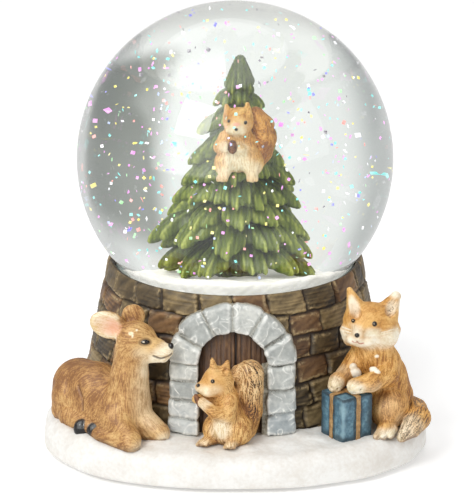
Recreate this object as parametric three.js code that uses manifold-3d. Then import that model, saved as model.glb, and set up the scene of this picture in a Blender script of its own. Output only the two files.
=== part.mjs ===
// A water-filled snow globe on a cast resin base: a tapered brick wall with a stone doorway stands
// on a bank of snow with a fawn, a squirrel and a fox round it, and carries a glass globe that is
// closed from below by a rubber stopper. Inside the globe a snow island carries a pine tree with a
// squirrel in its branches. Millimetres, +Z up, the front faces -Y, and the origin is on the table
// under the centre of the base.
import * as THREE from "three";
import { mergeVertices } from "three/addons/utils/BufferGeometryUtils.js";
import Module from "manifold-3d";

const wasm = await Module();
wasm.setup();

// Driving dimensions.
const GAP = 0.3; // left between pieces that touch on the real object
const FELT = { radius: 52, thickness: 1 };
const BASE_FLOOR = FELT.thickness + GAP;
const SNOW_TOP = 11;
const BASE = { halfWidth: 61, halfDepth: 61, widestY: -18.5, frontPower: 2.2, backReach: 52 };
const COVER = { radius: 41.5, thickness: 2 };
const WALL = { y: 8.5, footRadius: 49.5, rimRadius: 40.5, rimZ: 53 };
const WALL_FOOT = SNOW_TOP + GAP;
const LEAN = Math.atan((WALL.footRadius - WALL.rimRadius) / (WALL.rimZ - WALL_FOOT));
const GLOBE = { radius: 50, glass: 3, centreZ: 85, neckRadius: 31, neckFloor: 36, innerSteps: 10 };
const NECK_BORE = GLOBE.neckRadius - GLOBE.glass;
const LIQUID_RADIUS = GLOBE.radius - GLOBE.glass - GAP;
const SEAT_RADIUS = GLOBE.radius + 1.2; // of the round seat that holds the globe
const SEAT_LIP = { radius: GLOBE.radius + 0.5, angle: -0.7 }; // the rim closes in on the globe
const BRICK = { courses: 6, perCourse: 22, joint: 0.8, jointDepth: 0.6 };
const ISLAND = { radius: 26.8, floor: 46.3, top: 57 };
const TREE_FOOT = ISLAND.top + GAP;
const ARCH = { x: -0.8, outer: 19.3, inner: 10.4, spring: 21.5, relief: 3.5, joint: 0.8, jointDepth: 1 };
const DOOR = { recess: 3.2, thickness: 1.5 };
const GIFT = { x: 34, y: -39, turn: 0.6, side: 10.8, height: 13.4 };
const RIBBON = { width: 1.9, thickness: 0.5 };
const ROUND = 36; // segments of the large turned pieces
const LIMB_SIDES = 6;

const UP = new THREE.Vector3(0, 0, 1);
const AXIS_Y = new THREE.Vector3(0, 1, 0);

// --- Solids and geometry -------------------------------------------------------------------

function solid(geometry) {
  const bare = geometry.clone();
  for (const name of Object.keys(bare.attributes)) {
    if (name !== "position") bare.deleteAttribute(name);
  }
  const merged = mergeVertices(bare, 1e-3);
  const vertProperties = new Float32Array(merged.attributes.position.array);
  const triVerts = new Uint32Array(merged.index.array);
  return new wasm.Manifold(new wasm.Mesh({ numProp: 3, vertProperties, triVerts }));
}

function geometryOf(manifold) {
  const mesh = manifold.getMesh();
  const position = new Float32Array(mesh.numVert * 3);
  for (let i = 0; i < mesh.numVert; i++) {
    const start = i * mesh.numProp;
    position.set(mesh.vertProperties.subarray(start, start + 3), i * 3);
  }
  const geometry = new THREE.BufferGeometry();
  geometry.setAttribute("position", new THREE.BufferAttribute(position, 3));
  geometry.setIndex(new THREE.BufferAttribute(new Uint32Array(mesh.triVerts), 1));
  const faceted = geometry.toNonIndexed();
  faceted.computeVertexNormals();
  return faceted;
}

const union = (solids) => solids.reduce((whole, next) => whole.add(next));

// A solid turned about Z from [radius, z] points that run down its outside and back up its inside.
function turned(profile, segments = ROUND) {
  const points = profile.map(([radius, z]) => new THREE.Vector2(radius, z));
  const geometry = new THREE.LatheGeometry(points, segments);
  geometry.rotateX(Math.PI / 2);
  const made = solid(geometry);
  return made.volume() > 0 ? made : solid(flipped(geometry));
}

function flipped(geometry) {
  const turnedRound = geometry.clone();
  const index = turnedRound.index.array;
  for (let i = 0; i < index.length; i += 3) {
    [index[i + 1], index[i + 2]] = [index[i + 2], index[i + 1]];
  }
  return turnedRound;
}

const disc = (radius, low, high, segments = ROUND) =>
  turned([[0, high], [radius, high], [radius, low], [0, low]], segments);

// [radius, z] points on a circle about the globe's centre, between two angles above the horizon.
function arc(radius, from, to, steps) {
  return Array.from({ length: steps + 1 }, (_, i) => {
    const angle = from + ((to - from) * i) / steps;
    return [radius * Math.cos(angle), GLOBE.centreZ + radius * Math.sin(angle)];
  });
}

// A closed solid through rings of points, each ring one turn of point(angle, ring) from below upwards.
function ringed(rings, segments, point) {
  const position = [];
  const index = [];
  rings.forEach((ring) => {
    for (let i = 0; i < segments; i++) position.push(...point((2 * Math.PI * i) / segments, ring));
  });
  const middle = (ring) => {
    const ends = [point(0, ring), point(Math.PI, ring)];
    return [0, 1, 2].map((k) => (ends[0][k] + ends[1][k]) / 2);
  };
  const low = position.length / 3;
  position.push(...middle(rings[0]), ...middle(rings[rings.length - 1]));
  for (let i = 0; i < segments; i++) {
    const next = (i + 1) % segments;
    const top = (rings.length - 1) * segments;
    index.push(low, next, i, low + 1, top + i, top + next);
    for (let r = 0; r < rings.length - 1; r++) {
      const [a, b] = [r * segments + i, r * segments + next];
      index.push(a, b, b + segments, a, b + segments, a + segments);
    }
  }
  const geometry = new THREE.BufferGeometry();
  geometry.setAttribute("position", new THREE.Float32BufferAttribute(position, 3));
  geometry.setIndex(index);
  return solid(geometry);
}

// A limb: a tapered tube with round ends, from one [x, y, z, radius] to the next.
function limb([ax, ay, az, ar], [bx, by, bz, br], grow = 0) {
  const from = new THREE.Vector3(ax, ay, az);
  const along = new THREE.Vector3(bx, by, bz).sub(from);
  const length = along.length();
  const [r0, r1] = [ar + grow, br + grow];
  const shoulder = Math.PI / 6;
  const [across, beyond] = [Math.cos(shoulder), Math.sin(shoulder)];
  const profile = [
    new THREE.Vector2(0, -r0), new THREE.Vector2(r0 * across, -r0 * beyond),
    new THREE.Vector2(r1 * across, length + r1 * beyond), new THREE.Vector2(0, length + r1),
  ];
  const geometry = new THREE.LatheGeometry(profile, LIMB_SIDES);
  geometry.applyQuaternion(new THREE.Quaternion().setFromUnitVectors(AXIS_Y, along.normalize()));
  geometry.translate(ax, ay, az);
  return solid(geometry);
}

// A chain of limbs through [x, y, z, radius] points.
const chain = (points, grow = 0) =>
  union(points.slice(1).map((point, i) => limb(points[i], point, grow)));

// An egg with its own three radii, turned by angles about X, Y and Z.
function egg([x, y, z], [rx, ry, rz], [tx, ty, tz] = [0, 0, 0], grow = 0) {
  const geometry = new THREE.SphereGeometry(1, 8, 6);
  geometry.scale(rx + grow, ry + grow, rz + grow);
  geometry.applyMatrix4(new THREE.Matrix4().makeRotationFromEuler(new THREE.Euler(tx, ty, tz)));
  geometry.translate(x, y, z);
  return solid(geometry);
}

// A box between two corners.
function block([x0, y0, z0], [x1, y1, z1]) {
  const geometry = new THREE.BoxGeometry(x1 - x0, y1 - y0, z1 - z0);
  geometry.translate((x0 + x1) / 2, (y0 + y1) / 2, (z0 + z1) / 2);
  return solid(geometry);
}

// A flat outline in X and Z pushed through from y0 to y1.
function slab(shape, y0, y1, curveSegments = 12) {
  const geometry = new THREE.ExtrudeGeometry(shape, { depth: y1 - y0, bevelEnabled: false, curveSegments });
  geometry.rotateX(Math.PI / 2);
  geometry.translate(0, y1, 0);
  return solid(geometry);
}

// --- Base ----------------------------------------------------------------------------------

// The plan of the snow bank: wide and blunt at the front, narrowing to the wall's foot behind.
function planPoint(angle, inset) {
  const { halfWidth, halfDepth, widestY, frontPower, backReach } = BASE;
  const [c, s] = [Math.cos(angle), Math.sin(angle)];
  const reach = s < 0 ? halfDepth + widestY : backReach;
  const power = s < 0 ? frontPower : 2;
  const outline = (Math.abs(c / halfWidth) ** power + Math.abs(s / reach) ** power) ** (-1 / power);
  const foot = halfDepth - WALL.y;
  const offset = WALL.y - widestY;
  const round = offset * s + Math.sqrt(foot ** 2 - (offset * c) ** 2);
  const softness = 20;
  const radius = (outline ** softness + round ** softness) ** (1 / softness) - inset;
  return [radius * c, widestY + radius * s];
}

function snowBase() {
  const edge = [[2.4, BASE_FLOOR], [0.5, 3.5], [0, 6], [1.4, 9], [5, SNOW_TOP]];
  const bank = ringed(edge, 48, (angle, [inset, z]) => [...planPoint(angle, inset), z]);
  const well = disc(COVER.radius - 3.5, 0, SNOW_TOP + 5).translate([0, WALL.y, 0]);
  const rebate = disc(COVER.radius + GAP, 0, BASE_FLOOR + COVER.thickness + GAP).translate([0, WALL.y, 0]);
  return bank.subtract(well).subtract(rebate);
}

// --- Wall, doorway and door ----------------------------------------------------------------

const wallRadius = (z) => WALL.footRadius - (z - WALL_FOOT) * Math.tan(LEAN);

// The wall's outer face moved outwards by a distance, as a solid cone about the wall's axis.
function wallCone(out, low = WALL_FOOT, high = WALL.rimZ) {
  const off = out / Math.cos(LEAN);
  return turned([[0, high], [wallRadius(high) + off, high], [wallRadius(low) + off, low], [0, low]])
    .translate([0, WALL.y, 0]);
}

// The doorway's outline, upright with a round head.
function archShape(radius, floor = 0) {
  const shape = new THREE.Shape();
  shape.moveTo(ARCH.x - radius, floor);
  shape.lineTo(ARCH.x + radius, floor);
  shape.lineTo(ARCH.x + radius, ARCH.spring);
  shape.absarc(ARCH.x, ARCH.spring, radius, 0, Math.PI, false);
  shape.closePath();
  return shape;
}

// An outline on the wall's leaning front face, pushed straight through it.
function throughWall(shape) {
  return slab(shape, -16, 12)
    .rotate([THREE.MathUtils.radToDeg(-LEAN), 0, 0])
    .translate([0, WALL.y - WALL.footRadius, WALL_FOOT]);
}

// The wall as one solid cone of bricks in staggered courses, with sunk joints round every brick. Each
// brick takes three points of a ring: the joint before it and its own two edges.
function brickCone() {
  const { courses, perCourse, joint, jointDepth } = BRICK;
  const height = (WALL.rimZ - WALL_FOOT) / courses;
  const pitch = (2 * Math.PI) / perCourse;
  const rings = [];
  for (let course = 0; course < courses; course++) {
    const [low, high] = [WALL_FOOT + course * height, WALL_FOOT + (course + 1) * height];
    const stagger = ((course % 2) * pitch) / 2;
    const [first, last] = [course === 0, course === courses - 1];
    rings.push({ z: first ? low : low + joint / 2, stagger }, { z: last ? high : high - joint / 2, stagger });
    if (!last) rings.push({ z: high, stagger, sunk: true });
  }
  const pointsPerBrick = 3;
  return ringed(rings, pointsPerBrick * perCourse, (turn, { z, stagger, sunk }) => {
    const i = Math.round((turn * pointsPerBrick) / pitch);
    const brick = Math.floor(i / pointsPerBrick);
    const edge = i % pointsPerBrick;
    const half = joint / 2 / wallRadius(z);
    const angle = stagger + pitch * brick + [0, half, pitch - half][edge];
    const radius = wallRadius(z) - (sunk || edge === 0 ? jointDepth : 0);
    return [radius * Math.cos(angle), WALL.y + radius * Math.sin(angle), z];
  });
}

function brickWall() {
  const hollow = turned([[0, 60], [33.5, 60], [33.5, 41], [40, 36], [COVER.radius, 0], [0, 0]])
    .translate([0, WALL.y, 0]);
  const lip = SEAT_LIP.angle;
  const seat = turned([
    ...arc(SEAT_LIP.radius, Math.PI / 2, lip, 6), ...arc(SEAT_RADIUS, lip, -Math.PI / 2, 12),
  ]).translate([0, WALL.y, 0]);
  const recess = throughWall(archShape(ARCH.inner + GAP, -6)).subtract(wallCone(-DOOR.recess, 0, 60));
  return brickCone().subtract(seat).subtract(hollow).subtract(recess);
}

// Upright joints between the stones: jamb courses, then the fan of stones round the head.
function stoneJoints() {
  const half = ARCH.joint / 2;
  const reach = ARCH.outer + 4;
  const across = (x, z, turn) => {
    const cut = block([0, -16, -half], [reach, 12, half]).rotate([0, THREE.MathUtils.radToDeg(-turn), 0]);
    return cut.translate([x, 0, z]);
  };
  const courses = [5.2, 10.4, 16.2].map((z) => across(ARCH.x - reach, z, 0));
  const rightCourses = [6.6, 14].map((z) => across(ARCH.x, z, 0));
  const fan = [0, 1, 2, 3, 4, 5, 6].map((i) => across(ARCH.x, ARCH.spring, (Math.PI * i) / 6));
  return union([...courses, ...rightCourses, ...fan])
    .rotate([THREE.MathUtils.radToDeg(-LEAN), 0, 0])
    .translate([0, WALL.y - WALL.footRadius, WALL_FOOT]);
}

function stoneArch() {
  const ring = throughWall(archShape(ARCH.outer)).subtract(throughWall(archShape(ARCH.inner, -6)));
  const joints = stoneJoints().subtract(wallCone(ARCH.relief - ARCH.jointDepth, 0, 60));
  const floor = block([-70, -90, -10], [70, 90, WALL_FOOT]);
  return ring.intersect(wallCone(ARCH.relief, 0, 60)).subtract(wallCone(GAP, 0, 60))
    .subtract(joints).subtract(floor);
}

function woodDoor() {
  const inRecess = throughWall(archShape(ARCH.inner - GAP));
  const face = DOOR.thickness - DOOR.recess + GAP;
  const floor = block([-70, -90, -10], [70, 90, WALL_FOOT]);
  return inRecess.intersect(wallCone(face, 0, 60)).subtract(wallCone(GAP - DOOR.recess, 0, 60))
    .subtract(floor);
}

// --- Globe and what closes it --------------------------------------------------------------

function glassGlobe() {
  const { radius, glass, centreZ, neckRadius, neckFloor } = GLOBE;
  const inner = radius - glass;
  const top = Math.PI / 2;
  const outside = arc(radius, top, -Math.acos(neckRadius / radius), 12);
  const inside = arc(inner, -Math.acos(NECK_BORE / inner), top, GLOBE.innerSteps);
  outside[0] = [0, centreZ + radius];
  inside[inside.length - 1] = [0, centreZ + inner];
  return turned([...outside, [neckRadius, neckFloor], [NECK_BORE, neckFloor], ...inside]);
}

function seatSeal() {
  const [low, high] = [-0.85, SEAT_LIP.angle - 0.02];
  const inside = arc(GLOBE.radius + GAP + 0.05, high, low, 2);
  return turned([...inside, ...arc(SEAT_RADIUS - GAP, low, high, 2), inside[0]]);
}

// The rubber bung: a ribbed plug in the neck on a flange under its lip, bored for the filling pin.
function neckStopper() {
  const plug = NECK_BORE - 0.9;
  const rib = NECK_BORE - GAP;
  const [flangeLow, flangeHigh, top] = [GLOBE.neckFloor - 2.7, GLOBE.neckFloor - GAP, ISLAND.floor - GAP];
  const ribs = [42].flatMap((z) => [[plug, z + 0.6], [rib, z + 0.3], [rib, z - 0.3], [plug, z - 0.6]]);
  const bore = 2.2;
  return turned([
    [bore, top], [plug, top], ...ribs, [plug, flangeHigh], [GLOBE.neckRadius, flangeHigh],
    [GLOBE.neckRadius, flangeLow], [bore, flangeLow], [bore, top],
  ], 24);
}

function fillingPin() {
  const [head, shaft, floor] = [4, 1.9, GLOBE.neckFloor - 2.7 - GAP];
  const below = floor - 1.4;
  return turned([[0, 45], [shaft, 45], [shaft, floor], [head, floor], [head, below], [0, below]], 12);
}

function neckSeal() {
  const inner = GLOBE.neckRadius + GAP;
  return turned([[inner, 38], [inner + 1.2, 37], [inner + 1.6, 35], [inner, 33.2], [inner, 38]]);
}

function snowIsland(grow = 0) {
  const { radius, floor, top } = ISLAND;
  return turned([
    [0, top + grow], [radius - 4, top + grow], [radius - 1.2, top - 0.8 + grow],
    [radius + grow, top - 2.4], [radius + grow, floor - 2 * grow], [0, floor - 2 * grow],
  ]);
}

// --- Tree ----------------------------------------------------------------------------------

// Each tier of branches as the height of its tips, their reach from the trunk, and their number.
const TIERS = [
  [59, 19.5, 8], [65, 18.6, 8], [70.5, 16.4, 8], [76.5, 14.4, 7], [83.5, 11.8, 6], [91, 9.3, 6],
  [98.5, 6.6, 5],
];
const TREE_TOP = 111.5;

function pineTree() {
  const rings = [[TREE_FOOT, 13, 8, 0]];
  TIERS.forEach(([z, reach, count], i) => {
    const nextZ = i + 1 < TIERS.length ? TIERS[i + 1][0] : z + 5.5;
    const waist = i + 1 < TIERS.length ? TIERS[i + 1][1] * 0.72 : 3.2;
    rings.push([z, reach, count, 0.22], [z + 1.6, reach * 0.93, count, 0.16], [nextZ - 0.9, waist, count, 0]);
  });
  rings.push([103.5, 3.9, 5, 0.1], [108, 2.4, 5, 0], [TREE_TOP, 0.6, 5, 0]);
  rings[1][0] = TREE_FOOT + 1.4;
  return ringed(rings, 24, (angle, [z, reach, count, lobed]) => {
    const radius = reach * (1 - lobed * Math.abs(Math.sin((count * angle) / 2)));
    return [radius * Math.cos(angle), radius * Math.sin(angle), z];
  });
}

// A smooth cone that clears every branch: the liquid starts outside it.
function treeClearance() {
  const floor = ISLAND.floor - 2;
  return turned([
    [0, TREE_TOP + 0.8], [2.2, TREE_TOP + 0.6], [7.6, 100.4], [20.6, 62], [20.6, floor], [0, floor],
  ], 24);
}

// --- Animals -------------------------------------------------------------------------------

function treeSquirrel(grow = 0) {
  return union([
    chain([[0, -1, 86.5, 4], [0.6, -1, 92, 3.3], [0.8, -1.8, 96, 3]], grow),
    egg([0.8, -2.4, 98], [3.8, 3.4, 3.6], undefined, grow),
    limb([0.6, -4, 97.2, 2.2], [0.2, -5.6, 96.6, 1.3], grow),
    limb([-1.5, -2, 100, 1.3], [-1.9, -2, 102.6, 0.5], grow),
    limb([2.9, -2, 100, 1.4], [3.1, -2, 103, 0.5], grow),
    chain([[-2.4, -1.8, 93.4, 1.6], [-3.6, -3.2, 91.2, 1.4], [-2.5, -5, 91.8, 1.2]], grow),
    chain([[3.2, -1.8, 93.2, 1.7], [3.4, -3.8, 90.6, 1.5], [0.9, -5.2, 91.2, 1.2]], grow),
    limb([-2.6, -2.4, 86, 2.4], [-3.2, -5, 83.4, 1.4], grow),
    limb([4.6, -1.8, 86.6, 2.7], [4.4, -4.8, 83.2, 1.5], grow),
    chain([[5, 1.5, 86, 2.6], [7.6, 1, 91, 3.3], [7, 1, 98.6, 2.9]], grow),
  ]);
}

const treeSquirrelNut = (grow = 0) => egg([-0.7, -5.9, 92], [1.3, 1.1, 1.8], [0, 0.2, 0], grow);

// A plain pocket in the liquid that clears the squirrel and its nut.
function squirrelPocket() {
  return union([
    limb([0.4, -3.6, 84.6, 8.4], [0.6, -3.2, 93, 7.6]),
    limb([0.6, -3.2, 93, 7.6], [0.6, -2.6, 100.4, 5.8]),
    limb([6.6, 0.6, 88, 6.4], [7, 0.6, 98, 5.4]),
  ]);
}

function doorSquirrel() {
  return union([
    chain([[-1.8, -45, 15.4, 5.1], [-2.6, -44.8, 20, 4.4], [-3, -44.6, 25.5, 3.4], [-4.6, -45, 29, 3.2]]),
    egg([-5.2, -45.2, 31], [4.6, 3.8, 4.2]),
    limb([-7.5, -45.8, 30, 3.1], [-10.4, -46.4, 29.2, 1.5]),
    limb([-6.2, -46, 33.6, 1.6], [-6.8, -46, 37.8, 0.5]),
    limb([-3.2, -44.2, 33, 1.6], [-2.3, -43.8, 35.8, 0.8]),
    chain([[-1.8, -46.8, 25, 2.2], [-3, -48.2, 21.4, 2], [-9.4, -48, 24.4, 1.3]]),
    chain([[-4.6, -44, 24.4, 1.9], [-11.8, -45.4, 24.2, 1.3]]),
    limb([1, -44.8, 15.6, 5], [2, -43.4, 13.6, 3.8]),
    limb([-0.4, -48, 12.6, 1.9], [-1.6, -50.4, 12.5, 1.5]),
    limb([-6.6, -46, 12.6, 1.9], [-9.2, -47.3, 12.4, 1.3]),
    chain([[2.6, -41.6, 13.4, 2.8], [4.8, -41.4, 20, 3.5], [4.4, -41, 27, 3.8], [4.2, -40.6, 31.4, 4]]),
  ]);
}

const doorSquirrelNut = (grow = 0) => egg([-11, -47.6, 26.2], [1.4, 1.2, 1.8], [0, 0.5, 0], grow);

function fawn() {
  return union([
    chain([[-49, -20, 18.8, 8.2], [-42, -27.5, 19.6, 7.6], [-34.2, -37, 19.6, 8.2]]),
    limb([-49.8, -23, 14.8, 6.6], [-35.2, -39.6, 14.4, 6.3]),
    chain([[-34, -37, 22, 7.6], [-32.4, -36.2, 29.5, 6], [-31, -36, 36.5, 5.2]]),
    egg([-29.8, -36, 41], [5.8, 5.2, 5.4]),
    limb([-26.5, -37.2, 39, 4.3], [-20.4, -39.2, 38, 2.3]),
    limb([-27.5, -37, 37, 3.9], [-21.6, -39, 36.4, 2]),
    egg([-38.6, -35.6, 45.2], [5.6, 1.3, 3.7], [0, 0.42, 0.12]),
    egg([-31.4, -31.8, 46.8], [3.4, 1.4, 4.6], [-0.2, -0.15, 0]),
    chain([[-50.5, -23.5, 17.6, 6.4], [-48.6, -28, 14.2, 4.8]]),
    limb([-51.5, -28.5, 13.4, 2.8], [-45.4, -37.2, 13.2, 2.3]),
    chain([[-36, -41.6, 16.6, 3.8], [-31.4, -49.2, 13.4, 3], [-42.6, -40, 12.9, 2.1]]),
    chain([[-28.6, -39.6, 16, 3.8], [-22.4, -44, 13.4, 2.4], [-26, -43.6, 12.8, 1.9]]),
  ]);
}

function fox() {
  return union([
    chain([[47.7, -25.4, 17.6, 7.8], [45.8, -26, 25, 6.9], [42.8, -27, 32, 6.2], [41.8, -28, 38, 5.8]]),
    egg([41.2, -28.6, 43.2], [8.4, 6.4, 6.2], [0, 0.12, 0.15]),
    egg([35.4, -30.4, 41], [3.6, 3, 2.6], [0, 0.4, 0]),
    egg([47.8, -28.4, 39.8], [4, 3.2, 2.9], [0, -0.2, 0]),
    limb([39, -32.6, 41.2, 4.3], [37, -37.4, 41.4, 2.1]),
    limb([36.8, -28, 46, 3.6], [34.8, -28, 54.3, 0.9]),
    limb([46.8, -26, 45.4, 3.9], [49.6, -25, 51, 1.8]),
    chain([[37.4, -28.4, 30.8, 3.6], [33.4, -31.6, 27.4, 3], [31, -37, 27.2, 2.4]]),
    chain([[48.8, -27, 30, 4.2], [47.2, -33, 27.2, 3.5], [40, -39.4, 27.6, 2.6], [36, -41.2, 27.5, 2.4]]),
    egg([48, -31, 16.4], [6.2, 6.6, 6.2]),
    limb([48, -34.6, 13.4, 2.8], [45.4, -41, 13.2, 2.1]),
    chain([[52.6, -20, 14, 3.2], [56, -27, 14.2, 3.6], [55.6, -34.6, 14, 3.9], [50.8, -43.4, 13.2, 2.4]]),
  ]);
}

// --- Gift ----------------------------------------------------------------------------------

function giftBox(grow = 0) {
  const half = GIFT.side / 2 + grow;
  const high = WALL_FOOT + GIFT.height + grow;
  return block([-half, -half, WALL_FOOT], [half, half, high])
    .rotate([0, 0, THREE.MathUtils.radToDeg(GIFT.turn)])
    .translate([GIFT.x, GIFT.y, 0]);
}

function giftRibbon(grow = 0) {
  const half = GIFT.side / 2 + GAP + RIBBON.thickness + grow;
  const band = RIBBON.width / 2 + grow;
  const high = WALL_FOOT + GIFT.height + GAP + RIBBON.thickness + grow;
  return block([-half, -band, WALL_FOOT], [half, band, high])
    .add(block([-band, -half, WALL_FOOT], [band, half, high]))
    .rotate([0, 0, THREE.MathUtils.radToDeg(GIFT.turn)])
    .translate([GIFT.x, GIFT.y, 0]);
}

// --- Assembly ------------------------------------------------------------------------------

const FINISH = {
  felt: { color: 0x3d3f3c, roughness: 1 },
  cover: { color: 0x2b2b2b, roughness: 0.6 },
  snow: { color: 0xf0eee8, roughness: 0.75 },
  brick: { color: 0x6b5238, roughness: 0.6 },
  stone: { color: 0xa6adb3, roughness: 0.6 },
  wood: { color: 0x4a3327, roughness: 0.55 },
  glass: { color: 0xffffff, roughness: 0, transparent: true, opacity: 0.25 },
  liquid: { color: 0xf2fafa, roughness: 0, transparent: true, opacity: 0.2 },
  rubber: { color: 0xb8b4a8, roughness: 0.8 },
  sealant: { color: 0x7d8a84, roughness: 0.5 },
  pine: { color: 0x667a35, roughness: 0.5 },
  squirrel: { color: 0xd39a58, roughness: 0.5 },
  fawn: { color: 0xb98a55, roughness: 0.5 },
  fox: { color: 0xcc8a42, roughness: 0.5 },
  nut: { color: 0x5b3320, roughness: 0.45 },
  giftPaper: { color: 0x4a6b80, roughness: 0.5 },
  ribbon: { color: 0xa27c45, roughness: 0.45 },
};

function piece(name, made, finish) {
  const mesh = new THREE.Mesh(geometryOf(made), new THREE.MeshStandardMaterial(FINISH[finish]));
  mesh.name = name;
  return mesh;
}

// A figure outside the globe, cut back to a gap from the snow, the wall, the arch, the door and others.
function standing(figure, ...others) {
  const ground = block([-80, -90, -5], [80, 90, SNOW_TOP + GAP]);
  const doorway = throughWall(archShape(ARCH.inner - GAP, -6));
  const arch = wallCone(ARCH.relief + GAP, 0, 60).intersect(throughWall(archShape(ARCH.outer + GAP, -6)));
  const door = wallCone(DOOR.thickness - DOOR.recess + 2 * GAP, 0, 60);
  const wall = wallCone(GAP, 0, 60);
  const taken = [ground, arch.subtract(doorway), wall.subtract(doorway), door, ...others];
  return taken.reduce((left, cut) => left.subtract(cut), figure);
}

function globeGroup() {
  const group = new THREE.Group();
  group.position.y = WALL.y;
  const local = (made) => made.translate([0, -WALL.y, 0]);
  const squirrelSpace = local(treeSquirrel(GAP));
  const nutSpace = local(treeSquirrelNut(GAP));
  const neck = NECK_BORE - GAP;
  const filled = turned([
    ...arc(LIQUID_RADIUS, Math.PI / 2, -Math.acos(neck / LIQUID_RADIUS), GLOBE.innerSteps),
    [neck, ISLAND.floor + GAP], [0, ISLAND.floor + GAP],
  ]);
  const liquid = filled.subtract(snowIsland(GAP)).subtract(treeClearance())
    .subtract(local(squirrelPocket()));
  group.add(
    piece("glass_globe", glassGlobe(), "glass"),
    piece("liquid_fill", liquid, "liquid"),
    piece("globe_seat_seal", seatSeal(), "sealant"),
    piece("neck_stopper", neckStopper(), "rubber"),
    piece("stopper_filling_pin", fillingPin(), "rubber"),
    piece("neck_seal_bead", neckSeal(), "sealant"),
    piece("snow_island", snowIsland(), "snow"),
    piece("pine_tree", pineTree().subtract(squirrelSpace).subtract(nutSpace), "pine"),
    piece("tree_squirrel", local(treeSquirrel()).subtract(nutSpace), "squirrel"),
    piece("tree_squirrel_nut", local(treeSquirrelNut()), "nut"),
  );
  return group;
}

const snowGlobe = new THREE.Group();
const coverDisc = disc(COVER.radius, BASE_FLOOR, BASE_FLOOR + COVER.thickness).translate([0, WALL.y, 0]);
snowGlobe.add(
  piece("felt_pad", disc(FELT.radius, 0, FELT.thickness), "felt"),
  piece("base_cover", coverDisc, "cover"),
  piece("snow_base", snowBase(), "snow"),
  piece("brick_wall", brickWall(), "brick"),
  piece("stone_arch", stoneArch(), "stone"),
  piece("wood_door", woodDoor(), "wood"),
  piece("fawn", standing(fawn()), "fawn"),
  piece("door_squirrel", standing(doorSquirrel(), doorSquirrelNut(GAP)), "squirrel"),
  piece("door_squirrel_nut", standing(doorSquirrelNut()), "nut"),
  piece("fox", standing(fox(), giftBox(GAP), giftRibbon(GAP)), "fox"),
  piece("gift_box", giftBox(), "giftPaper"),
  piece("gift_ribbon", giftRibbon().subtract(giftBox(GAP)), "ribbon"),
  globeGroup(),
);

export default snowGlobe;
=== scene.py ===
# A snow globe on a resin base, dressed from its CAD frame: sculpted animals, bricks and tree, painted
# procedurally, round a clear glass ball of liquid and glitter. The frame is in metres; shapes here are
# worked out in millimetres in the same frame, with the front facing -Y.
import math

import bpy
import numpy as np
from mathutils import Euler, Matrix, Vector


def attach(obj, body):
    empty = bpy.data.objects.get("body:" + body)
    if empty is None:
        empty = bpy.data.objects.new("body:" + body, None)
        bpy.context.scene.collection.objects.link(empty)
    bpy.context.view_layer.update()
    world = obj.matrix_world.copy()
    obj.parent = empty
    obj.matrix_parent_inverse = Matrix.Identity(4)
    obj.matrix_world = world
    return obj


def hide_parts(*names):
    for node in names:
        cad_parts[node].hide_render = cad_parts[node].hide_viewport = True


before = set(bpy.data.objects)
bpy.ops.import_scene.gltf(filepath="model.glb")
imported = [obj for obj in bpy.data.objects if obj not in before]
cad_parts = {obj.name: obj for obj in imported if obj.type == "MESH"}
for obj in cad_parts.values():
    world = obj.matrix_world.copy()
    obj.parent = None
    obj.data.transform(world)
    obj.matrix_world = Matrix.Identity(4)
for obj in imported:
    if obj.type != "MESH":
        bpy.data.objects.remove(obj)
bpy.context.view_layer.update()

MM = 0.001
COARSER = 1.0
# The camera fitted to the photo: where it stands, what it looks at and its lens.
CAMERA = np.array((0.0, -648.5, 265.0))
CAMERA_AIM = (0.6, 1.5, 58.0)
LENS = 156.7

# The wall is a cone frustum round an upright axis at y = WALL_Y, from its foot to its rim.
WALL_Y = 8.5
WALL_FOOT = 11.3
WALL_RIM = 53.0
FOOT_RADIUS = 49.5
RIM_RADIUS = 40.5
LEAN = math.atan((FOOT_RADIUS - RIM_RADIUS) / (WALL_RIM - WALL_FOOT))
COURSES = 6
PER_COURSE = 22
# The globe stands on the same axis.
GLOBE_Z = 85.0
GLOBE_RADIUS = 50.0
GLASS = 3.0
# The doorway: its middle, the arch's radii, and how far up the wall's face the round part springs.
ARCH_X = -0.8
ARCH_OUTER = 19.3
ARCH_INNER = 10.4
ARCH_SPRING = 21.5
# Where what stands on the base is cut off flat, under the snow.
BURIED = 11.0


# --- Distance fields ---------------------------------------------------------------------------

# A distance that stands for nothing near, and how far past a shape its distances still matter.
FAR = 9.0
MARGIN = 1.2


def smooth_min(a, b, soft):
    """The lesser of two distances, blended where they are within soft of each other."""
    if soft <= 0:
        return np.minimum(a, b)
    h = np.clip(0.5 + 0.5 * (b - a) / soft, 0, 1)
    return b + (a - b) * h - soft * h * (1 - h)


def smoothstep(low, high, value):
    """0 at low and 1 at high with a smooth rise between. Low may be the greater of the two."""
    t = np.clip((value - low) / (high - low), 0, 1)
    return t * t * (3 - 2 * t)


def cone(a, b):
    """A limb with round ends between two (x, y, z, radius) points: its bounds and distance."""
    a, b = np.array(a, float), np.array(b, float)
    along = b[:3] - a[:3]
    length2 = float(along @ along)

    def distance(x, y, z):
        px, py, pz = x - a[0], y - a[1], z - a[2]
        t = np.clip((px * along[0] + py * along[1] + pz * along[2]) / length2, 0, 1)
        gap = (px - t * along[0]) ** 2 + (py - t * along[1]) ** 2 + (pz - t * along[2]) ** 2
        return np.sqrt(gap) - (a[3] + t * (b[3] - a[3]))

    low = np.minimum(a[:3] - a[3], b[:3] - b[3])
    high = np.maximum(a[:3] + a[3], b[:3] + b[3])
    return low, high, distance


def chain(*points):
    """Limbs from each (x, y, z, radius) point to the next."""
    return [cone(a, b) for a, b in zip(points, points[1:])]


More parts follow.
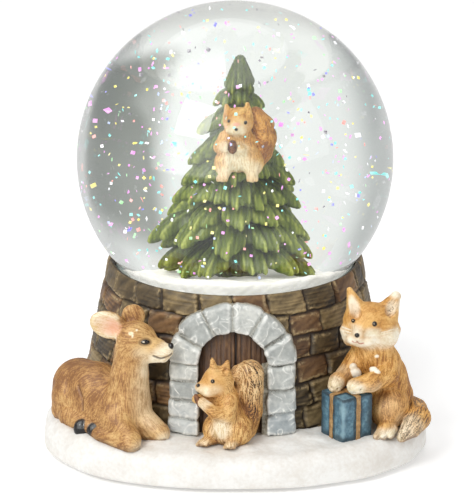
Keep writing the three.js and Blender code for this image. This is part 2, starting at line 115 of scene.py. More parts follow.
def egg(centre, radii, turn=(0, 0, 0)):
    """An ellipsoid turned by degrees about X, Y and Z: its bounds and distance."""
    rows = np.array(Euler([math.radians(t) for t in turn]).to_matrix()).T
    c, r = np.array(centre, float), np.array(radii, float)

    def distance(x, y, z):
        px, py, pz = x - c[0], y - c[1], z - c[2]
        local = [rows[i][0] * px + rows[i][1] * py + rows[i][2] * pz for i in range(3)]
        k0 = np.sqrt(sum((local[i] / r[i]) ** 2 for i in range(3)))
        k1 = np.sqrt(sum((local[i] / r[i] ** 2) ** 2 for i in range(3)))
        return k0 * (k0 - 1) / np.maximum(k1, 1e-6)

    reach = r.max()
    return c - reach, c + reach, distance


class Field:
    """A distance field in millimetres on a regular grid, built up one shape at a time."""

    def __init__(self, low, high, step):
        self.step = step * COARSER
        self.low = np.array(low, float)
        self.size = [int(math.ceil((h - l) / self.step)) + 1 for l, h in zip(low, high)]
        self.value = np.full(self.size, FAR, np.float32)

    def axes(self, cut):
        """The x, y and z of part of the grid, each along its own axis."""
        grids = []
        for axis, part in enumerate(cut):
            line = self.low[axis] + self.step * np.arange(part.start, part.stop)
            shape = [1, 1, 1]
            shape[axis] = -1
            grids.append(line.astype(np.float32).reshape(shape))
        return grids

    def window(self, low, high, pad):
        """The part of the grid within a box grown by pad."""
        cut = []
        for axis in range(3):
            first = int(math.floor((low[axis] - pad - self.low[axis]) / self.step))
            last = int(math.ceil((high[axis] + pad - self.low[axis]) / self.step)) + 1
            cut.append(slice(max(first, 0), max(min(last, self.size[axis]), 0)))
        return tuple(cut)

    def everywhere(self):
        return tuple(slice(0, n) for n in self.size)

    def blend(self, shapes, soft, sign):
        """Join (1) or cut away (-1) each shape, working only in the box round it."""
        for low, high, distance in shapes if isinstance(shapes, list) else [shapes]:
            box = self.window(low, high, soft + MARGIN)
            if all(part.stop > part.start for part in box):
                made = distance(*self.axes(box))
                self.value[box] = sign * smooth_min(sign * self.value[box], made, soft)

    def add(self, shapes, soft=1.0):
        self.blend(shapes, soft, 1)

    def cut(self, shapes, soft=0.6):
        self.blend(shapes, soft, -1)

    def keep(self, distance, soft=0.0):
        """Keep only what lies where the distance is below 0."""
        made = distance(*self.axes(self.everywhere()))
        self.value = -smooth_min(-self.value, -made, soft)

    def sample(self, points):
        index = np.round((points - self.low) / self.step).astype(int)
        index = np.clip(index, 0, np.array(self.size) - 1)
        return self.value[index[:, 0], index[:, 1], index[:, 2]]

    def seen(self, point, reach=9.0):
        """Where the line from the camera through a point meets the surface."""
        way = np.array(point, float) - CAMERA
        way /= np.linalg.norm(way)
        steps = np.arange(-reach, reach, 0.05)[:, None]
        line = np.array(point, float) + way * steps
        hit = np.nonzero(self.sample(line) < 0)[0]
        return line[hit[0]] if len(hit) else np.array(point, float)


def nets(field):
    """The field's zero surface as points, quads and the point held by each cell."""
    value = field.value
    inside = value < 0
    corner_steps = [(i, j, k) for i in (0, 1) for j in (0, 1) for k in (0, 1)]
    shape = [n - 1 for n in value.shape]
    count = np.zeros(shape, np.int8)
    for i, j, k in corner_steps:
        count += inside[i:i + shape[0], j:j + shape[1], k:k + shape[2]]
    active = (count > 0) & (count < 8)
    cells = np.argwhere(active)
    held = np.full(shape, -1, np.int32)
    held[active] = np.arange(len(cells))
    total = np.zeros((len(cells), 3))
    crossings = np.zeros(len(cells))
    for a in corner_steps:
        for axis in range(3):
            if a[axis]:
                continue
            b = list(a)
            b[axis] = 1
            va = value[cells[:, 0] + a[0], cells[:, 1] + a[1], cells[:, 2] + a[2]]
            vb = value[cells[:, 0] + b[0], cells[:, 1] + b[1], cells[:, 2] + b[2]]
            crossed = (va < 0) != (vb < 0)
            t = np.where(crossed, va / np.where(crossed, va - vb, 1), 0)
            point = np.array(a, float) + t[:, None] * (np.array(b, float) - a)
            total[crossed] += point[crossed]
            crossings[crossed] += 1
    points = field.low + field.step * (cells + total / crossings[:, None])
    quads = []
    for axis in range(3):
        ahead = [slice(None)] * 3
        behind = [slice(None)] * 3
        ahead[axis] = slice(1, None)
        behind[axis] = slice(None, -1)
        for across in range(3):
            if across != axis:
                ahead[across] = slice(1, -1)
                behind[across] = slice(1, -1)
        first, second = inside[tuple(behind)], inside[tuple(ahead)]
        u, v = [(1, 2), (2, 0), (0, 1)][axis]
        for flag, order in ((first & ~second, (0, 1, 2, 3)), (~first & second, (3, 2, 1, 0))):
            at = np.argwhere(flag)
            if not len(at):
                continue
            at[:, u] += 1
            at[:, v] += 1
            ring = []
            for du, dv in ((-1, -1), (0, -1), (0, 0), (-1, 0)):
                cell = at.copy()
                cell[:, u] += du
                cell[:, v] += dv
                ring.append(held[cell[:, 0], cell[:, 1], cell[:, 2]])
            quads.append(np.stack([ring[i] for i in order], 1))
    return points, np.concatenate(quads), held


class Skin:
    """A mesh being sculpted: points, quads, normals and values held at its points."""

    def __init__(self, points, quads, field=None, held=None):
        self.points, self.quads, self.field, self.held = points, quads, field, held
        pairs = np.concatenate([quads[:, [i, (i + 1) % 4]] for i in range(4)])
        self.pairs = pairs[pairs[:, 0] != pairs[:, 1]]
        self.degree = np.maximum(self.gather(np.ones(len(points))), 1)
        self.turn_normals()

    def gather(self, values):
        """The sum of a value over each point's neighbours."""
        a, b = self.pairs[:, 0], self.pairs[:, 1]
        n = len(self.points)
        return np.bincount(a, values[b], n) + np.bincount(b, values[a], n)

    def smooth(self, values, rounds):
        for _ in range(max(1, int(round(rounds / COARSER)))):
            values = 0.5 * values + 0.5 * self.gather(values) / self.degree
        return values

    def turn_normals(self):
        p = self.points[self.quads]
        face = np.cross(p[:, 2] - p[:, 0], p[:, 3] - p[:, 1])
        n = len(self.points)
        total = np.zeros((n, 3))
        for corner in range(4):
            for axis in range(3):
                total[:, axis] += np.bincount(self.quads[:, corner], face[:, axis], n)
        self.normals = total / np.maximum(np.linalg.norm(total, axis=1, keepdims=True), 1e-9)

    def relax(self, rounds=1):
        """Move each point half way to the middle of its neighbours."""
        for _ in range(rounds):
            mean = np.stack([self.gather(self.points[:, i]) / self.degree for i in range(3)], 1)
            self.points = self.points + 0.5 * (mean - self.points)
        self.turn_normals()

    def push(self, amount):
        """Move each point along its normal."""
        self.points = self.points + self.normals * amount[:, None]
        self.turn_normals()

    def hollow(self, rounds=8):
        """How sunk each point is against its surroundings: above 0 in creases, below on ridges."""
        near = [self.smooth(self.points[:, i], rounds) for i in range(3)]
        return ((np.stack(near, 1) - self.points) * self.normals).sum(1)

    def within(self, shapes, soft=0.5, grow=0.0):
        """1 inside the shapes, falling to 0 across their edge."""
        shapes = shapes if isinstance(shapes, list) else [shapes]
        x, y, z = self.points.T
        nearest = np.full(len(self.points), 9.0)
        for _, _, distance in shapes:
            nearest = np.minimum(nearest, distance(x, y, z))
        return 1 - smoothstep(-soft, soft, nearest - grow)

    def flow(self, bones, reach=2.5):
        """The way the fur lies: each point follows the bones near it."""
        x, y, z = self.points.T
        way = np.zeros((len(self.points), 3))
        for a, b in bones:
            a, b = np.array(a, float), np.array(b, float)
            _, _, distance = cone((*a, 0), (*b, 0))
            weight = np.exp(-distance(x, y, z) / reach)
            way += weight[:, None] * (b - a) / np.linalg.norm(b - a)
        return way

    def near(self, at, where):
        """The point of the mesh beside each place, found through the cells of the field."""
        low, step, top = self.field.low, self.field.step, np.array(self.held.shape) - 1
        found = np.full(len(at), -1)
        for shift in (0, 0.7, -0.7, 1.4, -1.4):
            cell = np.floor((at + self.normals[where] * shift * step - low) / step).astype(int)
            cell = np.clip(cell, 0, top)
            here = self.held[cell[:, 0], cell[:, 1], cell[:, 2]]
            found = np.where(found < 0, here, found)
        return np.where(found < 0, where, found)

    def combed(self, way, length, width, seed):
        """Fur strokes: noise drawn out along the way the fur lies, from 0 in a cut to 1 on a lock."""
        grain = np.random.default_rng(seed).standard_normal(len(self.points))
        grain = self.smooth(grain, width) if width else grain
        total = grain.copy()
        step = self.field.step
        for sign in (1, -1):
            at = self.points.copy()
            where = np.arange(len(at))
            for _ in range(int(length / step)):
                normal = self.normals[where]
                along = way[where]
                along = along - normal * (along * normal).sum(1, keepdims=True)
                along /= np.maximum(np.linalg.norm(along, axis=1, keepdims=True), 1e-6)
                at = at + sign * along * step
                where = self.near(at, where)
                normal = self.normals[where]
                off = ((at - self.points[where]) * normal).sum(1, keepdims=True)
                at = at - normal * off
                total += grain[where]
        total = (total - total.mean()) / total.std()
        return 0.5 + 0.5 * np.tanh(1.1 * total)


def lumps(points, size, seed, octaves=3):
    """Smooth noise from about -1 to 1, with features of that size in millimetres."""
    rng = np.random.default_rng(seed)
    total = np.zeros(len(points))
    for octave in range(octaves):
        scale = size / 2 ** octave
        for _ in range(5):
            way = rng.standard_normal(3)
            way /= np.linalg.norm(way)
            phase = rng.uniform(0, 2 * math.pi)
            bend = rng.standard_normal(3)
            warp = np.sin(points @ bend / (scale * 1.7) + phase)
            total += np.sin(points @ way * 2 * math.pi / (scale * 2) + phase + 1.5 * warp) / 2 ** octave / 3
    return total


# --- Meshes and pieces -------------------------------------------------------------------------

def ramp01(hollow, low, high):
    """0 at low and 1 at high with a straight rise between."""
    return np.clip((hollow - low) / (high - low), 0, 1)


def make(name, points, faces, material, slot, *nodes, colours=None, smooth=True):
    """A piece of the object from points in millimetres, standing for CAD nodes."""
    mesh = bpy.data.meshes.new(name)
    faces = np.asarray(faces) if not isinstance(faces, list) else faces
    mesh.from_pydata((np.asarray(points) * MM).tolist(), [], [list(map(int, f)) for f in faces])
    for label, channels in (colours or {}).items():
        data = np.ones((len(points), 4), np.float32)
        for i, channel in enumerate(channels):
            data[:, i] = channel
        mesh.color_attributes.new(label, "FLOAT_COLOR", "POINT").data.foreach_set("color", data.ravel())
    mesh.polygons.foreach_set("use_smooth", [smooth] * len(mesh.polygons))
    mesh.materials.append(material)
    mesh.update()
    obj = bpy.data.objects.new(name, mesh)
    bpy.context.scene.collection.objects.link(obj)
    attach(obj, "root")
    if nodes:
        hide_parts(*nodes)


def lathe(name, profile, material, slot, *nodes, around=96, centre=(0.0, WALL_Y)):
    """A turned piece from (radius, z) points down its outside and back up its inside."""
    profile = [(max(r, 0.0), z) for r, z in profile]
    points, faces, rings = [], [], []
    for r, z in profile:
        if r < 1e-6:
            rings.append([len(points)] * around)
            points.append((centre[0], centre[1], z))
        else:
            rings.append(list(range(len(points), len(points) + around)))
            for i in range(around):
                angle = 2 * math.pi * i / around
                points.append((centre[0] + r * math.cos(angle), centre[1] + r * math.sin(angle), z))
    for a, b in zip(rings, rings[1:]):
        for i in range(around):
            j = (i + 1) % around
            face = [a[i], b[i], b[j], a[j]]
            face = [v for k, v in enumerate(face) if v != face[k - 1]]
            if len(face) > 2:
                faces.append(face)
    make(name, points, faces, material, slot, *nodes)


def sculpt(name, skin, material, slot, node, paint, relief):
    """A sculpted piece whose material reads what its paint and relief channels say of each point."""
    make(name, skin.points, skin.quads, material, slot, node, colours={"paint": paint, "relief": relief})


# --- Materials ---------------------------------------------------------------------------------

def srgb(r, g, b):
    """A screen colour from 0 to 255 as the linear light that shaders take."""
    return tuple(((c / 255 + 0.055) / 1.055) ** 2.4 if c > 10 else c / 255 / 12.92 for c in (r, g, b))


def set_inputs(node, values):
    for key, value in values.items():
        node.inputs[key].default_value = value


class Nodes:
    """Short names for the nodes a material or the studio is made of."""

    def __init__(self, tree):
        self.tree = tree

    def node(self, kind, **settings):
        made = self.tree.nodes.new(kind)
        for key, value in settings.items():
            setattr(made, key, value)
        return made

    def link(self, source, target):
        self.tree.links.new(source, target)

    def feed(self, socket, value):
        """Set a socket to a number or a linear colour, or link it to another node's output."""
        if isinstance(value, (int, float)):
            socket.default_value = value
        elif isinstance(value, tuple):
            socket.default_value = (*value, 1.0)
        else:
            self.link(value, socket)

    def channels(self, name):
        """The red, green and blue of a colour held at the mesh's points."""
        split = self.node("ShaderNodeSeparateColor")
        self.link(self.node("ShaderNodeAttribute", attribute_name=name).outputs["Color"], split.inputs[0])
        return list(split.outputs)

    def noise(self, size, detail=3.0, stretch=(1, 1, 1), roughness=0.55):
        """Noise with features of that size in millimetres, fixed to the object."""
        mapping = self.node("ShaderNodeMapping")
        mapping.inputs["Scale"].default_value = stretch
        self.link(self.where, mapping.inputs["Vector"])
        noise = self.node("ShaderNodeTexNoise")
        self.link(mapping.outputs[0], noise.inputs["Vector"])
        set_inputs(noise, {"Scale": 1 / (size * MM), "Detail": detail, "Roughness": roughness})
        return noise.outputs["Fac"]

    def math(self, kind, a, b, clamp=False):
        made = self.node("ShaderNodeMath", operation=kind, use_clamp=clamp)
        self.feed(made.inputs[0], a)
        self.feed(made.inputs[1], b)
        return made.outputs[0]

    def plus(self, a, b, clamp=False):
        return self.math("ADD", a, b, clamp)

    def minus(self, a, b):
        return self.math("SUBTRACT", a, b)

    def times(self, a, b, clamp=False):
        return self.math("MULTIPLY", a, b, clamp)

    def layers(self, first, *others):
        """The sum of (value, weight) layers, clamped. A third number is first taken off the value."""
        total = self.times(*first)
        for count, (value, weight, *middle) in enumerate(others, 1):
            value = self.minus(value, *middle) if middle else value
            total = self.plus(total, self.times(value, weight), clamp=count == len(others))
        return total

    def fit(self, value, low, high, to_low=0.0, to_high=1.0, **settings):
        """The value taken from one range to another and held inside it."""
        made = self.node("ShaderNodeMapRange", **settings)
        self.feed(made.inputs["Value"], value)
        set_inputs(made, {"From Min": low, "From Max": high, "To Min": to_low, "To Max": to_high})
        return made.outputs[0]

    def step(self, value, low, high):
        """0 at low and 1 at high, with a smooth rise between."""
        return self.fit(value, low, high, interpolation_type="SMOOTHSTEP")

    def mix(self, factor, a, b):
        made = self.node("ShaderNodeMix", data_type="RGBA")
        self.feed(made.inputs[0], factor)
        self.feed(made.inputs[6], a)
        self.feed(made.inputs[7], b)
        return made.outputs[2]

    def coats(self, colour, *coats):
        """Screen colours laid over a colour one after another, each through its own mask."""
        for mask, coat in coats:
            colour = self.mix(mask, colour, srgb(*coat))
        return colour

    def ramp(self, factor, *stops):
        """Screen colours run together, from (position, red, green, blue) stops."""
        made = self.node("ShaderNodeValToRGB")
        elements = made.color_ramp.elements
        while len(elements) < len(stops):
            elements.new(0.5)
        for element, (at, *colour) in zip(elements, stops):
            element.position = at
            element.color = (*srgb(*colour), 1.0)
        self.feed(made.inputs[0], factor)
        return made.outputs[0]


class Paint(Nodes):
    """A material being mixed."""

    def __init__(self, name):
        self.material = bpy.data.materials.new(name)
        self.material.use_nodes = True
        super().__init__(self.material.node_tree)
        self.shader = self.tree.nodes["Principled BSDF"]
        self.output = self.tree.nodes["Material Output"]
        self.where = self.node("ShaderNodeTexCoord").outputs["Object"]

    def bump(self, height, distance, strength):
        made = self.node("ShaderNodeBump")
        set_inputs(made, {"Strength": strength, "Distance": distance * MM})
        self.link(height, made.inputs["Height"])
        self.link(made.outputs[0], self.shader.inputs["Normal"])

    def gloss(self, grain, low, high):
        """A roughness that follows a noise between two values."""
        return self.fit(grain, 0.3, 0.7, low, high)

    def finish(self, colour, roughness, specular=0.5):
        self.feed(self.shader.inputs["Base Color"], colour)
        self.feed(self.shader.inputs["Roughness"], roughness)
        self.shader.inputs["Specular IOR Level"].default_value = specular
        return self.material


def fur_paint(name, deep, mid, light, pale, pale_deep, dark, blush, lines_and_shade, strokes):
    """Painted fur: painted shade in the cuts and at the foot, in one colour with the dark painted lines;
    paint on the locks; pale and dark areas where listed.
    """
    p = Paint(name)
    is_pale, is_dark, is_blush = p.channels("paint")
    lock, sunk, tone = p.channels("relief")
    patches, speck = p.noise(4.0), p.noise(0.7)
    height = p.layers((lock, 0.3), (speck, 0.35), (patches, 0.9, 0.5), (tone, 0.9, 0.5))
    stroke = p.times(p.step(lock, 0.42, 0.05), strokes)
    fur = p.ramp(height, (0.08, *deep), (0.32, *mid), (0.62, *light))
    fur = p.coats(fur, (stroke, deep))
    white = p.mix(p.fit(height, 0.1, 0.55), srgb(*pale_deep), srgb(*pale))
    white = p.coats(white, (p.times(stroke, 0.6), pale_deep))
    # Where the relief is sunk the dark coat goes on: painted shade in the cuts and at the foot, and the dark
    # painted lines.
    colour = p.coats(p.mix(is_pale, fur, white), (is_blush, blush), (p.times(sunk, 0.85), lines_and_shade),
                     (is_dark, dark))
    p.bump(speck, 0.06, 0.5)
    return p.finish(colour, p.minus(p.gloss(speck, 0.42, 0.62), p.times(is_dark, 0.3)))


def brick_paint():
    p = Paint("brick_paint")
    is_light, is_red, _ = p.channels("paint")
    lift, sunk, tone = p.channels("relief")
    broad, fine = p.noise(7.0), p.noise(0.9, 4.0)
    height = p.layers((lift, 0.55), (fine, 0.35), (broad, 0.6, 0.5), (tone, 0.5, 0.5))
    olive = p.ramp(height, (0.1, 46, 37, 24), (0.45, 90, 75, 50), (0.9, 146, 126, 88))
    red = p.ramp(height, (0.1, 44, 29, 19), (0.45, 90, 65, 42), (0.9, 146, 112, 74))
    # Painted highlight on the bricks' edges; the sunk coat is the dark joints, with painted shade behind the
    # door and inside the drum.
    edge_highlight = p.times(is_light, p.fit(fine, 0.35, 0.6))
    colour = p.coats(p.mix(is_red, olive, red), (edge_highlight, (172, 150, 110)), (sunk, (36, 25, 16)))
    p.bump(fine, 0.12, 0.6)
    return p.finish(colour, p.gloss(fine, 0.42, 0.62), 0.4)


def stone_paint():
    p = Paint("stone_paint")
    is_light, is_mortar, is_blue = p.channels("paint")
    _, sunk, tone = p.channels("relief")
    fine = p.noise(0.8, 4.0)
    height = p.layers((tone, 0.3), (p.noise(3.0, 4.0, roughness=0.7), 0.8))
    colour = p.ramp(height, (0.25, 140, 144, 141), (0.5, 172, 175, 171), (0.75, 208, 209, 202))
    # The pale coat is the white veins, with painted highlight on the stones' raised rims; the dark coat is
    # the joints, with painted shade in the stones' hollows.
    brushed = p.times(is_light, p.fit(fine, 0.25, 0.45), clamp=True)
    colour = p.coats(colour, (p.times(is_blue, 0.5), (160, 184, 208)), (brushed, (240, 240, 234)),
                     (p.times(sunk, 0.9), (84, 80, 68)))
    mortar = p.mix(p.fit(fine, 0.4, 0.6), srgb(124, 116, 96), srgb(186, 178, 158))
    p.bump(fine, 0.1, 0.5)
    return p.finish(p.mix(is_mortar, colour, mortar), p.gloss(fine, 0.55, 0.75))


def door_paint():
    p = Paint("door_paint")
    lift, sunk, _ = p.channels("relief")
    grain = p.noise(0.8, 4.0, (1.0, 1.0, 0.12))
    # Lighter where the grain stands up: painted highlight. The sunk coat is the dark joints, with painted
    # shade towards the arch.
    height = p.layers((lift, 0.4), (grain, 0.8))
    colour = p.ramp(height, (0.3, 46, 29, 18), (0.58, 90, 61, 38), (0.9, 142, 107, 70))
    p.bump(grain, 0.15, 0.6)
    return p.finish(p.coats(colour, (sunk, (24, 16, 14))), p.gloss(grain, 0.42, 0.62))


def pine_paint():
    p = Paint("pine_paint")
    is_light, _, _ = p.channels("paint")
    lock, sunk, tone = p.channels("relief")
    fine, broad = p.noise(0.7), p.noise(6.0, 2.0)
    height = p.layers((lock, 0.6), (fine, 0.25), (broad, 0.4, 0.5), (tone, 0.4, 0.5))
    colour = p.ramp(height, (0.1, 40, 54, 10), (0.42, 88, 105, 26), (0.85, 150, 164, 58))
    # Painted highlight along the ridges and at the tips; painted shade in the creases under the tiers.
    brushed = p.times(is_light, p.fit(fine, 0.3, 0.6))
    colour = p.coats(colour, (brushed, (190, 199, 100)), (p.times(sunk, 0.95), (26, 38, 12)))
    p.bump(fine, 0.08, 0.5)
    return p.finish(colour, p.gloss(fine, 0.34, 0.5))


def snow_paint(name, light, shade, glow=0.0):
    """Painted snow. The glow stands for the light that the ball gathers on what it holds."""
    p = Paint(name)
    broad, fine = p.noise(9.0), p.noise(1.1, 4.0)
    colour = p.ramp(p.layers((broad, 0.6), (fine, 0.4)), (0.36, *shade), (0.6, *light))
    p.bump(p.plus(broad, p.times(fine, 0.4)), 0.35, 0.5)
    set_inputs(p.shader, {"Emission Color": (*srgb(*light), 1), "Emission Strength": glow})
    return p.finish(colour, p.gloss(fine, 0.5, 0.68))


def plain_paint(name, deep, mid, light, size=2.5, rough=0.5, bump=0.08):
    """A brushed coat: three tones in soft patches with a fine grain."""
    p = Paint(name)
    fine = p.noise(size * 0.3, 4.0)
    tone = p.layers((p.noise(size), 0.65), (fine, 0.35))
    p.bump(fine, bump, 0.6)
    colour = p.ramp(tone, (0.34, *deep), (0.5, *mid), (0.66, *light))
    return p.finish(colour, p.gloss(fine, rough - 0.08, rough + 0.1))


def gift_paint():
    p = Paint("gift_paint")
    is_edge_highlight, is_lines_and_shade, _ = p.channels("paint")
    fine = p.noise(0.8, 4.0)
    tone = p.layers((p.noise(3.0), 0.65), (fine, 0.35))
    colour = p.ramp(tone, (0.34, 50, 80, 98), (0.5, 82, 118, 136), (0.66, 126, 162, 174))
    # A painted highlight on the front corner; painted shade at the side corners, top edge and foot, and dark
    # lines beside the ribbon.
    colour = p.coats(colour, (is_edge_highlight, (150, 182, 192)), (p.times(is_lines_and_shade, 0.85), (24, 36, 44)))
    p.bump(fine, 0.08, 0.5)
    return p.finish(colour, p.gloss(fine, 0.42, 0.6))


def clear(name, ior):
    """Glass or liquid that bends the view but lets the lamps straight through to what it holds."""
    p = Paint(name)
    set_inputs(p.shader, {"Base Color": (1, 1, 1, 1), "Transmission Weight": 1.0, "Roughness": 0.0,
                          "IOR": ior})
    path = p.node("ShaderNodeLightPath")
    light = p.math("MAXIMUM", path.outputs["Is Shadow Ray"], path.outputs["Is Diffuse Ray"])
    through = p.node("ShaderNodeBsdfTransparent")
    mix = p.node("ShaderNodeMixShader")
    for i, source in enumerate((light, p.shader.outputs[0], through.outputs[0])):
        p.link(source, mix.inputs[i])
    p.link(mix.outputs[0], p.output.inputs["Surface"])
    return p.material


def glitter_paint():
    p = Paint("glitter_paint")
    hue = p.node("ShaderNodeAttribute", attribute_name="paint").outputs["Color"]
    colour = p.mix(p.fit(p.noise(0.9, 1.0), 0.3, 0.7, 0.0, 0.35), hue, (1.0, 1.0, 1.0))
    # The flakes glow in their own colour: painted light that keeps them bright.
    p.link(colour, p.shader.inputs["Emission Color"])
    set_inputs(p.shader, {"Emission Strength": 0.7, "Metallic": 0.3})
    return p.finish(colour, p.gloss(p.noise(2.0), 0.2, 0.4))


# --- Base, cover and felt ----------------------------------------------------------------------

def plan_reach(x, y):
    """Distance outside the snow bank's outline: an ellipse in front, the wall's foot behind."""
    dy = y + 18.5
    reach = np.where(dy < 0, 42.5, 52.0)
    power = np.where(dy < 0, 2.2, 2.0)
    angle_r = np.sqrt(x * x + dy * dy) + 1e-6
    c, s = x / angle_r, dy / angle_r
    outline = (np.abs(c / 61) ** power + np.abs(s / reach) ** power) ** (-1 / power)
    round_r = 27 * s + np.sqrt(np.maximum(52.5 ** 2 - (27 * c) ** 2, 0))
    radius = (outline ** 20 + np.maximum(round_r, 1) ** 20) ** (1 / 20)
    return angle_r - radius


# Lumps of snow pressed up round what stands in it: x, y, reach, height.
DRIFTS = [(-14, -46, 3.2, 0.9), (13.5, -46, 3.6, 0.9), (-3, -52.5, 2.6, 0.7), (3.2, -50, 2.4, 0.7),
          (26, -43, 3.0, 0.9), (34.5, -48.5, 3.0, 0.8), (42, -44, 3.0, 0.8), (50.5, -43, 2.6, 0.8),
          (-32, -52, 3.4, 0.7), (-24, -47, 3.2, 0.8), (-54, -33, 3.6, 0.8), (-46, -41, 3.2, 0.7),
          (-12, -50, 2.4, 0.6), (56, -36, 3.0, 0.7), (-20, -42, 3.4, 0.8), (21, -42, 3.2, 0.8),
          (46.5, -46.5, 2.2, 0.7)]


def build_snow():
    field = Field((-63, -63, 0.4), (63, 63, 16), 0.62)
    x, y, z = field.axes(field.everywhere())
    out = plan_reach(x, y)
    top = 10.9 + 0.3 * np.sin(x / 9 + 1) * np.sin(y / 7) + 0.2 * np.sin(x / 3.3 + y / 4.1)
    top = top + 0.5 * np.exp(-(((x + 52) / 9) ** 2 + ((y + 24) / 14) ** 2))
    for px, py, reach, high in DRIFTS:
        top = top + high * np.exp(-((x - px) ** 2 + (y - py) ** 2) / reach ** 2)
    drift = np.hypot(x, y - WALL_Y) - 50.5
    top = top + 0.8 * np.exp(-np.abs(drift) / 1.6)
    edge = 5.2
    wave = 0.5 * np.sin(x / 6.5 + 0.4 * y) + 0.35 * np.sin(y / 4.2 - x / 9)
    inset = -(out + 0.9 + 0.4 * wave) - edge
    high = z - (top - edge)
    body = np.where((inset < 0) & (high > 0), np.hypot(inset, high) - edge,
                    np.maximum(-inset - edge, high - edge))
    low = 2.6 - z
    body = np.maximum(body, -inset - edge + np.clip(low, 0, 3) * 0.6)
    body = np.maximum(body, 1.3 - z)
    well = np.hypot(x, y - WALL_Y) - 38.5
    field.value = np.maximum(body, -well).astype(np.float32)
    skin = Skin(*nets(field)[:2], field)
    skin.relax(2)
    upper = smoothstep(9.5, 11, skin.points[:, 2])
    grain = 0.1 * lumps(skin.points, 2.6, 3) + 0.13 * upper * np.abs(lumps(skin.points, 1.5, 4))
    skin.push(grain * (skin.points[:, 2] > 2))
    material = snow_paint("snow_paint", (236, 235, 231), (221, 216, 208))
    make("snow_bank", skin.points, skin.quads, material, "snow_paint", "snow_base")


def build_under():
    felt = plain_paint("felt", (52, 56, 52), (64, 68, 63), (78, 82, 76), 1.2, 0.95, 0.25)
    cover = plain_paint("cover", (34, 34, 34), (42, 42, 42), (52, 52, 52), 3.0, 0.6)
    lathe("felt", [(0, 1), (51.6, 1), (52, 0.7), (52, 0.15), (51.8, 0), (0, 0)], felt, "felt",
          "felt_pad", centre=(0, 0))
    lathe("cover_disc", [(0, 3.3), (41, 3.3), (41.5, 2.8), (41.5, 1.5), (41.2, 1.3), (0, 1.3)], cover,
          "cover", "base_cover")


# --- Wall --------------------------------------------------------------------------------------

def sphere_arc(radius, start, stop, steps):
    """(radius, z) points down or up a sphere round the globe's middle, from angle to angle."""
    return [(radius * math.cos(t), GLOBE_Z + radius * math.sin(t)) for t in np.linspace(start, stop, steps)]


def wall_radius(z):
    return FOOT_RADIUS - (z - WALL_FOOT) * math.tan(LEAN)


def arch_plane(x, z):
    """Across and up the doorway's leaning face, from its foot."""
    return x - ARCH_X, (z - WALL_FOOT) / math.cos(LEAN)


def arch_radius(u, v):
    """Distance from the doorway's middle line: sideways below the spring, round above it."""
    return np.hypot(u, np.maximum(v - ARCH_SPRING, 0))


